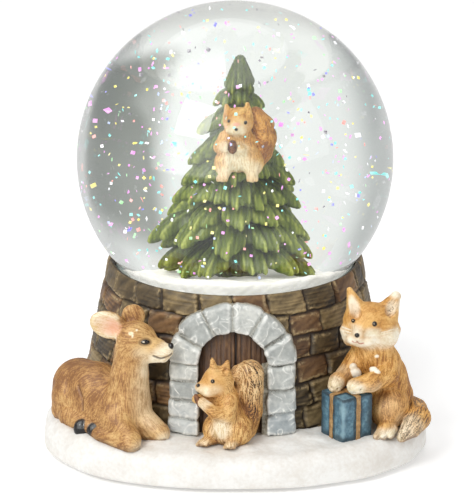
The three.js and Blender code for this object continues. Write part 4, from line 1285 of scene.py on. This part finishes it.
def build_fox():
    f = Field((24.5, -52, 10.2), (61.5, -14.5, 60), 0.26)
    f.add(chain((47.4, -25.4, 18, 8.0), (45.6, -26, 25, 6.9), (42.6, -27, 32, 6.2), (41.6, -28, 37, 5.6)), 3)
    f.add(egg((41.3, -28.4, 43.6), (8.4, 6.6, 6.0), (0, 7, 8)), 2)
    f.add(egg((41.0, -29.6, 40.6), (8.4, 5.8, 4.6), (0, 4, 8)), 1.6)
    f.add(cone((36, -30.8, 41.4, 3.2), (33.2, -30.6, 41.8, 1.0)), 1.6)
    f.add(cone((46.4, -29.2, 40.8, 3.8), (48.8, -28.2, 40.8, 1.8)), 2)
    f.add([egg((46.0, -29.8, 38.8), (3.8, 3.2, 3.2)), egg((35.2, -31.2, 39.6), (2.4, 2.6, 2.8))], 1.2)
    f.add(cone((39.4, -32.6, 41.6, 3.9), (37.4, -36.2, 41.9, 2.0)), 1.8)
    f.add([egg((35.9, -35.0, 40.4), (2.3, 2.0, 1.8)), egg((39.6, -35.2, 40.0), (2.7, 2.0, 1.9), (0, 6, 0))],
          0.9)
    f.add(egg((38, -34.0, 38.7), (2.4, 2.0, 1.3)), 0.8)
    f.add(cone((37.4, -28.6, 46.6, 3.6), (34.9, -28.4, 53.8, 0.9)), 1.0)
    f.add(cone((46.6, -26.6, 46.0, 3.8), (49.2, -25.8, 50.8, 1.6)), 1.0)
    f.cut(cone((36.6, -32.3, 47.4, 1.9), (35.1, -30.7, 52.8, 0.5)), 0.5)
    f.cut(cone((47.0, -30.2, 47.0, 1.7), (48.8, -28.2, 50.4, 0.7)), 0.5)
    f.add(chain((37.6, -28.2, 31.0, 3.6), (33.8, -31.8, 27.2, 2.9), (31.2, -36.6, 27.2, 2.5),
                (30.4, -38.8, 26.7, 2.3)), 0.9)
    f.add(chain((46.8, -27.4, 30.4, 4.2), (46.4, -33, 27.8, 3.6), (41, -39.2, 27.8, 2.8),
                (36.2, -41.4, 27.4, 2.5)), 0.9)
    f.add(egg((47.4, -32.0, 16.8), (6.4, 6.8, 6.6), (0, 4, 0)), 0.4)
    f.add(chain((47.2, -36.0, 12.9, 2.8), (45.6, -40.4, 12.9, 2.4)), 0.5)
    f.add([cone((46.4 + 2.0 * i, -40.2 + 0.6 * i, 12.6, 1.4), (45.0 + 2.1 * i, -43.8 + 0.6 * i, 12.1, 1.15))
           for i in (-1, 0, 1)], 0.3)
    tail = chain((52.4, -20, 13.8, 3.2), (56.2, -26.6, 14.0, 3.5), (56.4, -33.6, 14.0, 3.9),
                 (53.6, -40.8, 13.6, 3.2), (50.4, -45.6, 12.4, 1.5))
    f.add(tail, 0.2)
    f.cut([cone((x, -41.6, 29.4, 0.25), (x - 0.5, -43.6, 25.8, 0.35)) for x in (34.6, 36.4, 38.2)], 0.4)
    f.cut([cone((x, -39.0, 28.6, 0.25), (x - 0.3, -41.2, 25.6, 0.35)) for x in (29.6, 31.2)], 0.4)
    eyes = [eye(f, (35.8, -34, 45.9), 0.62), eye(f, (42.3, -34, 44.8), 0.7)]
    f.add([ball for _, ball in eyes], 0.12)
    nose_at = f.seen((36.8, -38, 42.6))
    nose = egg(nose_at, (0.7, 0.8, 0.62))
    f.add(nose, 0.2)
    mouth = [f.seen(p) for p in ((35.5, -37, 40.2), (36.1, -37, 39.7), (36.9, -38, 40.2), (37.8, -37, 39.5),
                                 (38.8, -37, 39.7))]
    lips = chain(*[(*p, 0.14) for p in mouth]) + chain((*nose_at, 0.14), (*mouth[2], 0.14))
    f.cut(lips, 0.25)
    dabs = [egg(f.seen((36.6, -37, 30.0)), (1.9, 1.3, 1.7), (0, 20, 0)),
            egg(f.seen((35.9, -37, 31.9)), (1.1, 0.9, 1.3)),
            egg(f.seen((42.4, -34, 29.8)), (1.5, 1.0, 1.1), (0, 25, 0)),
            egg(f.seen((43.4, -34, 29.2)), (0.9, 0.8, 0.8)), egg(f.seen((43.2, -33, 34)), (0.6, 0.4, 0.4))]
    f.add(dabs, 0.1)
    whiskers = []
    for a, b in (((35.3, 44.2), (32.1, 45.3)), ((35.0, 43.4), (32.0, 44.2)), ((34.9, 42.6), (32.4, 42.8)),
                 ((44.1, 43.4), (49.0, 44.8)), ((43.8, 42.8), (48.9, 43.7)), ((44.1, 42.0), (48.6, 42.0))):
        route = [f.seen((a[0] + t * (b[0] - a[0]), -38, a[1] + t * (b[1] - a[1])))
                 for t in (0, 0.33, 0.66, 1)]
        whiskers += chain(*[(*p, 0.13) for p in route])
    f.add(whiskers, 0.1)
    ground(f)
    clear_of_wall(f)
    f.cut(gift_space(0.05), 0.15)
    bones = [((37, -34, 44), (42, -29, 50)), ((41, -30, 49), (47, -28, 43)), ((38, -34, 40), (50, -28, 39)),
             ((37, -34, 41), (32, -30, 41)), ((41, -28, 38), (43, -33, 30)), ((44, -22, 34), (50, -19, 20)),
             ((43, -33, 34), (45, -35, 20)), ((50, -24, 24), (52, -24, 12)), ((48, -35, 23), (49, -36, 12)),
             ((48, -27, 31), (47, -34, 28)), ((47, -35, 28), (36, -42, 27)), ((37, -28, 31), (32, -33, 28)),
             ((32, -33, 28), (30, -39, 26)), ((53, -20, 16), (56, -27, 16)), ((56, -27, 16), (55, -35, 15)),
             ((55, -35, 15), (50, -44, 13)), ((37, -28, 46), (35, -28, 54)), ((47, -27, 46), (50, -25, 52))]
    bare = [egg(c, (1.4, 1.3, 1.3)) for c, _ in eyes] + [nose, egg((37.5, -37, 40.6), (3.2, 2.4, 2.2))] + dabs
    skin, lock, sunk = groomed(f, bones, 1.1, 0, 0.13, bare, 202)
    x, _, z = skin.points.T
    full_lock = lock
    lock = 0.5 + (lock - 0.5) * (1 - 0.5 * smoothstep(36, 40, z))
    face = skin.within([egg((36.4, -36, 39.9), (3.4, 4, 2.5)), egg((40.6, -35, 39.4), (4.6, 4, 2.7)),
                        egg((33.8, -31, 40.4), (3, 3.4, 2.4)),
                        egg((46.4, -31.8, 39.6), (5.4, 4, 3.0), (0, -6, 0)),
                        egg((37.0, -36, 42.6), (1.7, 3, 1.7)),
                        egg((41.8, -36, 41.8), (3.4, 3, 1.2), (0, 12, 0))], 1.5) * 0.92
    ears = skin.within([egg((35.8, -31.4, 50), (1.8, 2.0, 4.2), (0, -18, 0)),
                        egg((48.0, -29.4, 48.8), (1.8, 2.0, 3.2), (0, 26, 0))], 0.7)
    tip = skin.within([egg((49.6, -25.8, 52.2), (2.8, 3, 1.8)),
                       egg((50.6, -26, 49), (1.2, 2.4, 3.4), (0, 18, 0))], 0.9)
    paws = skin.within([egg((35.4, -42.8, 26.8), (3.6, 3, 2.6)), egg((30.4, -39.4, 26.6), (2.8, 3, 2.6)),
                        egg((45.2, -43.2, 11.6), (5, 3.6, 2.2))], 1.2)
    thigh = skin.within(egg((46.6, -37.5, 19), (4.6, 3.6, 4.6)), 3.4) * 0.16
    tail_tip = skin.within(cone((53.0, -40.5, 13.6, 4.0), (49, -45.5, 12.2, 3)), 1.8)
    sleeve = skin.within([cone((32.4, -33, 28, 2.6), (30.5, -37, 27, 2.4)),
                          cone((42, -40, 26.4, 2), (36, -42.4, 26.4, 2))], 1.6) * 0.45
    snow = skin.within(dabs, 0.12, 0.12)
    brow = skin.within([egg((34.8, -35, 44.4), (1.6, 2, 0.9)), egg((41.6, -35, 43.0), (2.6, 2, 0.9))],
                       0.9) * 0.4
    pale = np.clip(face + ears * 0.7 + tip * 0.8 + paws * 0.85 + thigh + tail_tip * 0.75 + sleeve + snow
                   + brow, 0, 1)
    pale = np.maximum(pale, skin.within(whiskers, 0.1, 0.08))
    # Painted highlights: a white glint in each eye.
    glints = [egg(f.seen(at + (-0.15, -0.5, 0.22)), (0.16, 0.3, 0.14)) for at, _ in eyes]
    in_eye = skin.within([ball for _, ball in eyes], 0.08, 0.1) * (1 - 0.8 * skin.within(glints, 0.06))
    pale = np.clip(pale + skin.within(glints, 0.06), 0, 1)
    on_tail = skin.within(tail, 0.5, 0.6)
    cuts = on_tail * smoothstep(0.4, 0.12, lock) * 0.7
    hairs = ears * smoothstep(0.3, 0.1, full_lock) * (x > 44) * 0.6
    dark = np.clip(in_eye + skin.within(nose, 0.1, 0.08) + cuts + hairs, 0, 1)
    blush = skin.within(lips, 0.14, 0.1) * 0.9
    sunk = np.clip(sunk * (1 - snow) * (1 - blush), 0, 1)
    lock = np.where(snow > 0.5, 0.95, lock)
    crown = 0.1 * skin.within(egg((42, -28, 48.4), (6, 6, 2.5)), 2)
    tone = 0.6 + 0.08 * smoothstep(24, 12, z) - crown - 0.16 * on_tail
    tone = tone - 0.16 * smoothstep(34, 26, z) * (1 - on_tail)
    material = fur_paint("fox_paint", (138, 86, 34), (200, 145, 72), (232, 187, 116), (250, 244, 226),
                         (224, 204, 162), (24, 19, 16), (190, 112, 88), (108, 64, 30), strokes=0.36)
    sculpt("fox_figure", skin, material, "fox_paint", "fox", (pale, dark, blush), (lock, sunk, tone))


def build_door_squirrel():
    f = Field((-15.5, -53.5, 10.2), (10.5, -33.5, 41), 0.2)
    f.add(chain((-2.4, -45, 15.6, 5.6), (-2.6, -44.8, 20, 4.8), (-3, -44.6, 25.0, 3.8),
                (-4.2, -45, 28.4, 3.4)), 1.6)
    f.add(egg((-5.0, -45.4, 31), (4.7, 4.0, 4.3), (0, 20, 0)), 1.2)
    f.add(cone((-7.6, -46.4, 30, 3.1), (-10.4, -47.0, 29.3, 1.6)), 1.3)
    f.add(egg((-7.8, -47.6, 28.6), (2.8, 2.3, 2.1)), 0.9)
    f.add(cone((-6.3, -46.4, 34.2, 1.7), (-6.9, -46.2, 38.0, 0.45)), 0.7)
    f.add(cone((-3.2, -45.8, 34.0, 1.9), (-2.3, -45.4, 36.8, 0.6)), 0.6)
    f.cut(cone((-3.0, -47.4, 34.4, 0.8), (-2.4, -46.6, 36.0, 0.3)), 0.3)
    f.add(chain((-1.6, -47.2, 25.2, 2.6), (-2.2, -49.6, 21.4, 2.3), (-6.6, -50.4, 22.8, 1.8),
                (-9.8, -49.4, 25.4, 1.5)), 0.2)
    f.add(chain((-4.6, -44, 24.4, 2.1), (-11.6, -45.6, 25.0, 1.4)), 0.7)
    f.add(egg((0.8, -46.0, 15.4), (4.8, 5.0, 5.2)), 0.5)
    f.add(egg((-6.6, -45.2, 15.0), (3.2, 4.2, 4.4)), 0.6)
    f.add(egg((-3.8, -46.6, 17.0), (3.6, 3.8, 4.8)), 0.8)
    f.add(chain((-0.2, -48.6, 12.6, 2.1), (-1.4, -51.0, 12.3, 1.5)), 0.6)
    f.add(chain((-7.2, -47.0, 12.6, 2.0), (-9.4, -48.8, 12.2, 1.4)), 0.6)
    f.add([cone((-1.4 + i, -50.6, 12.2, 0.8), (-1.7 + 1.3 * i, -52.2, 12.0, 0.6)) for i in (-1, 0, 1)], 0.25)
    f.add([cone((-9.4 + i, -48.6, 12.2, 0.8), (-10.0 + 1.3 * i, -50.2, 12.0, 0.6)) for i in (-1, 0, 1)], 0.25)
    tail = chain((3.4, -42, 13.8, 3.2), (4.4, -42, 20, 3.9), (4.3, -42, 27, 4.2), (4.3, -42, 31.6, 4.3),
                 (1.4, -43.4, 32.4, 2.8))
    f.add(tail, 0.5)
    at, ball = eye(f, (-6.7, -49, 32.0), 0.5)
    f.add(ball, 0.12)
    nose = egg(f.seen((-11.1, -47.6, 30.2)), (0.6, 0.6, 0.5))
    f.add(nose, 0.2)
    ground(f)
    f.keep(lambda x, y, z: -(wall_out(x, y, z) + 0.9), 0.2)
    nut = egg((-11.0, -48.6, 25.4), (0.95, 1.3, 2.6), (0, -24, 0))
    bones = [((-11, -47, 29.5), (-5, -46, 33)), ((-5, -46, 33), (-3, -44, 28)),
             ((-3, -44, 27), (0, -44, 14)), ((-3, -48, 22), (-9, -48, 25)), ((-4, -48, 20), (-4, -49, 12)),
             ((2, -47, 19), (2, -48, 11)), ((3, -42, 13), (5.5, -42, 20)), ((5.5, -42, 20), (5.5, -42, 30)),
             ((5.5, -42, 30), (3, -43, 36)), ((-2, -48, 12), (-2, -51, 12)),
             ((-7, -46, 12), (-10, -49, 12))]
    bare = [ball, nose, egg((-7, -47, 30.6), (5, 4, 4.4))]
    skin, lock, sunk = groomed(f, bones, 0.9, 0, 0.15, bare, 303, 2.0)
    x, y, z = skin.points.T
    belly = skin.within(egg((-4.6, -50.6, 17.0), (2.8, 2.6, 3.6)), 2.0) * 0.9
    snout = skin.within([egg((-9.6, -48.0, 28.6), (2.6, 2.4, 1.8)),
                         egg((-9.4, -49.4, 24.8), (2.4, 2.0, 2.0))], 0.9)
    cheek = skin.within(egg((-6.4, -49.6, 29), (2.6, 2, 1.8)), 1.4) * 0.4
    on_tail = skin.within(tail, 0.5, 0.5) * (z > 13)
    feet = skin.within([egg((-1.6, -51.6, 12), (2.6, 2, 1.6)), egg((-10, -49.6, 12), (2.6, 2, 1.6))],
                       0.8) * 0.5
    upper = smoothstep(20, 27, z)
    lock = 0.5 + (lock - 0.5) * (1 + 0.5 * smoothstep(22, 18, z))
    cuts = on_tail * smoothstep(0.36, 0.1, lock) * (0.4 + 0.6 * smoothstep(2.5, 6, x)) * smoothstep(14, 22, z)
    pale = np.clip(belly + snout * 0.85 + cheek + on_tail * 0.24 * upper * smoothstep(0.2, 0.6, lock)
                   + feet, 0, 1)
    # Painted highlight: a white glint in the eye.
    painted_glint = skin.within(egg(f.seen(at + (-0.1, -0.4, 0.16)), (0.13, 0.3, 0.12)), 0.05)
    pale = np.maximum(pale, painted_glint)
    dark = np.clip(skin.within(ball, 0.1, 0.14) * (1 - 0.8 * painted_glint) + skin.within(nose, 0.1, 0.08) + cuts,
                   0, 1)
    tone = 0.58 - 0.2 * skin.within(egg((2, -46, 20), (4, 4, 6)), 2.4) - 0.2 * on_tail * (1 - upper)
    material = fur_paint("door_squirrel_paint", (136, 86, 38), (198, 146, 78), (227, 187, 122),
                         (250, 240, 216), (222, 194, 140), (30, 22, 17), (235, 190, 160), (104, 62, 30),
                         strokes=0.5)
    sculpt("door_squirrel_figure", skin, material, "door_squirrel_paint", "door_squirrel",
           (pale, dark, pale * 0), (lock, sunk, tone))
    build_nut("door_nut", nut, "door_squirrel_nut")


def build_nut(name, shape, node):
    low, high, _ = shape
    field = Field(low - 1, high + 1, 0.14)
    field.add(shape, 0)
    skin = Skin(*nets(field)[:2], field)
    skin.relax(1)
    skin.push(0.06 * lumps(skin.points, 0.9, 9))
    make(name, skin.points, skin.quads, NUT, "nut_paint", node)


def build_tree_squirrel():
    f = Field((-7.5, -10.5, 80.5), (13.5, 5, 105), 0.2)
    f.add(chain((0.4, -1.4, 88.4, 4.2), (0.6, -1.2, 92, 3.4), (0.8, -1.8, 96, 3)), 1.6)
    f.add(egg((0.8, -2.4, 98), (3.9, 3.4, 3.5)), 1.2)
    f.add(cone((0.5, -4, 97.1, 2.2), (0.1, -5.8, 96.7, 1.2)), 0.9)
    f.add([egg((-0.9, -4.6, 96.2), (1.5, 1.3, 1.2)), egg((1.7, -4.6, 96.2), (1.5, 1.3, 1.2))], 0.7)
    f.add(cone((-1.6, -2.2, 99.6, 1.4), (-2.2, -2.2, 102.0, 0.5)), 0.6)
    f.add(cone((2.9, -2.2, 99.8, 1.5), (3.2, -2.2, 102.4, 0.6)), 0.6)
    f.cut([egg((-1.9, -3.5, 100.9), (0.6, 0.6, 1.0)), egg((3.0, -3.5, 101.1), (0.7, 0.6, 1.1))], 0.3)
    f.add(chain((-2.4, -1.8, 93.4, 1.8), (-3.7, -3.4, 91.4, 1.6), (-2.3, -5.2, 92, 1.3)), 0.8)
    f.add(chain((3.2, -1.8, 93.2, 1.9), (3.6, -4.0, 90.8, 1.7), (0.9, -5.4, 91.4, 1.3)), 0.8)
    f.add([egg((-2.7, -5.9, 92.1), (1.25, 1.1, 1.15)), egg((1.3, -6.1, 91.7), (1.45, 1.1, 1.15))], 0.4)
    f.add([egg((-2.5, -3.2, 87.4), (2.7, 3.2, 3.5), (0, 12, 0)),
           egg((4.1, -3.0, 87.6), (3.1, 3.3, 3.7), (0, -10, 0))], 0.5)
    f.add(chain((-2.7, -5.0, 85.2, 1.6), (-3.0, -6.4, 84.4, 1.3)), 0.5)
    f.add(chain((4.3, -4.9, 85.3, 1.7), (4.3, -6.4, 84.4, 1.4)), 0.5)
    f.add([cone((c + 0.8 * i, -6.4, 84.2, 0.7), (c + 1.0 * i, -7.4, 83.8, 0.5)) for c in (-3.3, 4.4)
           for i in (-1, 0, 1)], 0.3)
    tail = chain((4.6, 0.8, 86.4, 2.6), (6.3, 0.3, 89.4, 3.0), (7.2, 0.2, 92.6, 3.1), (6.9, 0.2, 95.8, 2.9),
                 (5.2, 0.2, 98.6, 2.2))
    f.add(tail, 0.5)
    eyes = [eye(f, (-1.6, -4, 98.5), 0.32), eye(f, (2.7, -4, 98.1), 0.38)]
    f.add([ball for _, ball in eyes], 0.15)
    nose = egg(f.seen((0.3, -5.8, 96.8)), (0.4, 0.4, 0.36))
    f.add(nose, 0.15)
    bones = [((0, -5, 97), (1, -3, 101)), ((1, -2, 96), (1, -4, 84)), ((-2, -2, 94), (-4, -4, 91)),
             ((3, -2, 94), (4, -4, 91)), ((5, 1, 86), (8, 1, 92)), ((8, 1, 92), (7, 1, 100)),
             ((4, -3, 89), (4, -6, 83)), ((-3, -3, 88), (-3, -6, 83))]
    skin, lock, sunk = groomed(f, bones, 0.7, 0, 0.12,
                               [b for _, b in eyes] + [nose, egg((0.6, -4, 97.6), (4, 3, 2.6))], 404, 2.0)
    belly = skin.within(egg((0.4, -5, 88.4), (2.8, 2.6, 3.4)), 1.2) * 0.8
    soft = skin.within([egg((0.5, -5, 96.8), (3.2, 3, 2.4)), egg((0.6, -5, 88.6), (4.2, 3, 5))], 1.6) * 0.42
    face = skin.within([egg((0.3, -5.6, 96.2), (2.2, 2, 1.6)), egg((-2.6, -6.0, 92), (1.7, 1.6, 1.6)),
                        egg((1.5, -6.2, 91.6), (1.9, 1.6, 1.6)), egg((-3.2, -5.8, 84), (2.4, 2.6, 2.6)),
                        egg((4.4, -5.6, 85), (2.6, 2.6, 3.6))], 1.0)
    pale = np.clip(belly + face * 0.7 + soft, 0, 1)
    blush = skin.within(egg(f.seen((0.4, -5.8, 98.1)), (0.9, 0.8, 0.45)), 0.3) * 0.6
    dark = np.clip(skin.within([b for _, b in eyes], 0.08, 0.12) + skin.within(nose, 0.08, 0.06), 0, 1)
    tone = 0.6 - 0.26 * skin.within(tail, 0.5, 0.5)
    material = fur_paint("tree_squirrel_paint", (142, 84, 22), (202, 142, 56), (230, 188, 108),
                         (246, 236, 204), (212, 180, 118), (20, 15, 13), (232, 150, 140), (120, 68, 24),
                         strokes=0.5)
    sculpt("tree_squirrel_figure", skin, material, "tree_squirrel_paint", "tree_squirrel",
           (pale, dark, blush), (lock, sunk, tone))
    build_nut("tree_nut", egg((-0.7, -6.7, 92.3), (1.15, 1.1, 1.85)), "tree_squirrel_nut")


# --- Gift --------------------------------------------------------------------------------------

GIFT_AT, GIFT_TURN, GIFT_SIDE, GIFT_TOP = (34.0, -39.0), 0.6, 11.3, 24.8


def gift_local(x, y):
    c, s = math.cos(GIFT_TURN), math.sin(GIFT_TURN)
    dx, dy = x - GIFT_AT[0], y - GIFT_AT[1]
    return c * dx + s * dy, -s * dx + c * dy


def gift_space(grow, round_off=0.5):
    """The gift box as a shape: a box with rounded edges."""
    half = GIFT_SIDE / 2 + grow
    middle = (GIFT_TOP + 10.6) / 2
    tall = (GIFT_TOP - 10.6) / 2 + grow

    def distance(x, y, z):
        a, b = gift_local(x, y)
        q = [np.abs(a) - half + round_off, np.abs(b) - half + round_off,
             np.abs(z - middle) - tall + round_off]
        outside = np.sqrt(sum(np.maximum(part, 0) ** 2 for part in q))
        return outside + np.minimum(np.maximum(np.maximum(q[0], q[1]), q[2]), 0) - round_off

    reach = half * 1.5
    return (np.array((GIFT_AT[0] - reach, GIFT_AT[1] - reach, 10.0)),
            np.array((GIFT_AT[0] + reach, GIFT_AT[1] + reach, GIFT_TOP + 2)), distance)


def build_gift():
    low, high, distance = gift_space(0.0)
    field = Field(low, high, 0.26)
    field.add((low, high, distance), 0)
    skin = Skin(*nets(field)[:2], field)
    skin.push(0.07 * lumps(skin.points, 2.0, 41))
    x, y, z = skin.points.T
    a, b = gift_local(x, y)
    half = GIFT_SIDE / 2
    wobble = 0.5 * lumps(skin.points, 2.4, 43)
    outer = np.minimum(np.hypot(half + a, half - b), np.hypot(half - a, half + b)) + wobble
    rim = np.where(np.maximum(np.abs(a), np.abs(b)) > half - 0.5, np.abs(GIFT_TOP - z), 9) + wobble
    beside = np.minimum(np.abs(a), np.abs(b)) - 1.2 + 0.2 * lumps(skin.points, 1.6, 44)
    # Painted shade: darker at the left and right corners, along the top edge and at the foot, with dark lines
    # beside the ribbon.
    lines_and_shade = np.maximum(0.9 * (1 - smoothstep(0.3, 2.8, outer)), 1 - smoothstep(0.4, 1.6, rim))
    lines_and_shade = np.maximum(lines_and_shade, 0.8 * (1 - smoothstep(0.2, 1.8, z - 11.6 + wobble)))
    lines_and_shade = np.maximum(lines_and_shade, 0.9 * np.exp(-(beside / 0.4) ** 2))
    # Painted highlight: the front corner is lighter.
    edge_highlight = 0.6 * (1 - smoothstep(0.2, 1.8, np.hypot(half + a, half + b) + wobble)) * (1 - lines_and_shade)
    make("gift", skin.points, skin.quads, gift_paint(), "gift_paint", "gift_box",
         colours={"paint": (edge_highlight, lines_and_shade, lines_and_shade * 0)})
    grown = gift_space(0.42)[2]
    band = Field(low - 1, high + 1, 0.2)
    x, y, z = band.axes(band.everywhere())
    a, b = gift_local(x, y)
    body = grown(x, y, z)
    width = 0.8 + 0.08 * np.sin(z * 1.3)
    strip = np.minimum(np.abs(a), np.abs(b)) - width
    body = np.maximum(np.maximum(body, strip), -gift_space(0.02)[2](x, y, z))
    band.value = np.maximum(body, 10.8 - z).astype(np.float32)
    skin = Skin(*nets(band)[:2], band)
    ribbon = plain_paint("ribbon_paint", (120, 86, 48), (164, 126, 80), (196, 162, 112), 2.0, 0.42)
    make("ribbon", skin.points, skin.quads, ribbon, "ribbon_paint", "gift_ribbon")


# --- Stage -------------------------------------------------------------------------------------

def sheet(name, corners, material):
    mesh = bpy.data.meshes.new(name)
    mesh.from_pydata([tuple(c * MM for c in corner) for corner in corners], [], [(0, 1, 2, 3)])
    mesh.materials.append(material)
    obj = bpy.data.objects.new(name, mesh)
    bpy.context.scene.collection.objects.link(obj)
    return obj


def area(name, at, aim, size, power):
    lamp = bpy.data.lights.new(name, "AREA")
    lamp.shape = "RECTANGLE"
    lamp.size, lamp.size_y = size
    lamp.energy = power
    obj = bpy.data.objects.new(name, lamp)
    obj.location = Vector(at)
    obj.rotation_euler = (Vector(aim) - Vector(at)).to_track_quat("-Z", "Y").to_euler()
    bpy.context.scene.collection.objects.link(obj)
    obj.visible_transmission = False
    return obj


def build_studio():
    """White round the camera's view, an even dome for the lamps' fill, grey flags seen through glass."""
    world = bpy.data.worlds.new("studio")
    bpy.context.scene.world = world
    world.use_nodes = True
    n = Nodes(world.node_tree)
    background = n.tree.nodes["Background"]
    split = n.node("ShaderNodeSeparateXYZ")
    n.link(n.node("ShaderNodeTexCoord").outputs["Generated"], split.inputs[0])
    x, y, z = split.outputs
    path = n.node("ShaderNodeLightPath")
    sides = n.step(n.math("ABSOLUTE", x, 0), 0.34, 0.62)
    seen = n.mix(sides, (0.89, 0.93, 0.895),
                 n.mix(n.step(x, -0.1, 0.1), (0.47, 0.5, 0.485), (0.56, 0.58, 0.56)))
    seen = n.mix(n.step(z, -0.66, -0.9), seen, (0.55, 0.57, 0.545))
    flag = n.times(n.step(x, 0.16, 0.27), n.step(x, 0.78, 0.66))
    flag = n.times(flag, n.times(n.step(z, -0.68, -0.58), n.step(z, 0.2, -0.05)))
    dark = n.mix(n.step(x, 0.25, 0.6), (0.31, 0.33, 0.3), (0.18, 0.2, 0.18))
    seen = n.mix(flag, seen, dark)
    veil = n.times(n.step(x, -0.08, -0.11), n.step(x, -0.92, -0.84))
    veil = n.times(veil, n.times(n.step(y, 0.35, -0.1), n.step(z, 0.0, 0.05)))
    shine = n.mix(n.step(z, -0.1, 0.1), (0.9, 0.9, 0.9), (0.5, 0.5, 0.52))
    shine = n.mix(veil, shine, (3.8, 3.9, 3.8))
    colour = n.mix(path.outputs["Is Glossy Ray"], (0.47, 0.47, 0.47), shine)
    colour = n.mix(path.outputs["Is Transmission Ray"], colour, seen)
    colour = n.mix(path.outputs["Is Camera Ray"], colour, (1.0, 1.0, 1.0))
    n.link(colour, background.inputs["Color"])


def build_stage():
    scene = bpy.context.scene
    floor = bpy.data.materials.new("floor")
    floor.use_nodes = True
    set_inputs(floor.node_tree.nodes["Principled BSDF"],
               {"Base Color": (0.93, 0.93, 0.93, 1), "Roughness": 0.9, "Specular IOR Level": 0.2,
                "Emission Color": (1, 1, 1, 1), "Emission Strength": 0.2})
    size = 4000
    ground_sheet = sheet("floor", [(-size, -size, 0), (size, -size, 0), (size, size, 0), (-size, size, 0)],
                         floor)
    ground_sheet.visible_transmission = False
    ground_sheet.visible_glossy = False
    build_studio()
    area("key", (-0.55, -0.75, 0.85), (0, 0, 0.06), (0.5, 0.5), 7)
    area("fill", (0.7, -0.5, 0.5), (0, 0, 0.06), (0.6, 0.6), 1.2)
    sky = bpy.data.lights.new("top", "SUN")
    sky.energy, sky.angle = 0.92, math.radians(70)
    over = bpy.data.objects.new("top", sky)
    over.rotation_euler = (math.radians(-12), math.radians(-8), 0)
    scene.collection.objects.link(over)
    scene.view_settings.view_transform = "Standard"
    camera = bpy.data.cameras.new("camera")
    camera.lens = LENS
    camera.sensor_width = 36
    camera.clip_start, camera.clip_end = 0.01, 20
    obj = bpy.data.objects.new("camera", camera)
    scene.collection.objects.link(obj)
    obj.location = Vector(CAMERA * MM)
    obj.rotation_euler = (Vector(CAMERA_AIM) * MM - obj.location).to_track_quat("-Z", "Y").to_euler()
    scene.camera = obj


NUT = plain_paint("nut_paint", (62, 36, 22), (108, 68, 42), (152, 104, 68), 1.2, 0.66, 0.2)

build_stage()
build_under()
build_snow()
build_wall()
build_arch()
build_door()
build_island()
build_tree()
build_globe()
build_glitter()
build_fawn()
build_fox()
build_gift()
build_door_squirrel()
build_tree_squirrel()
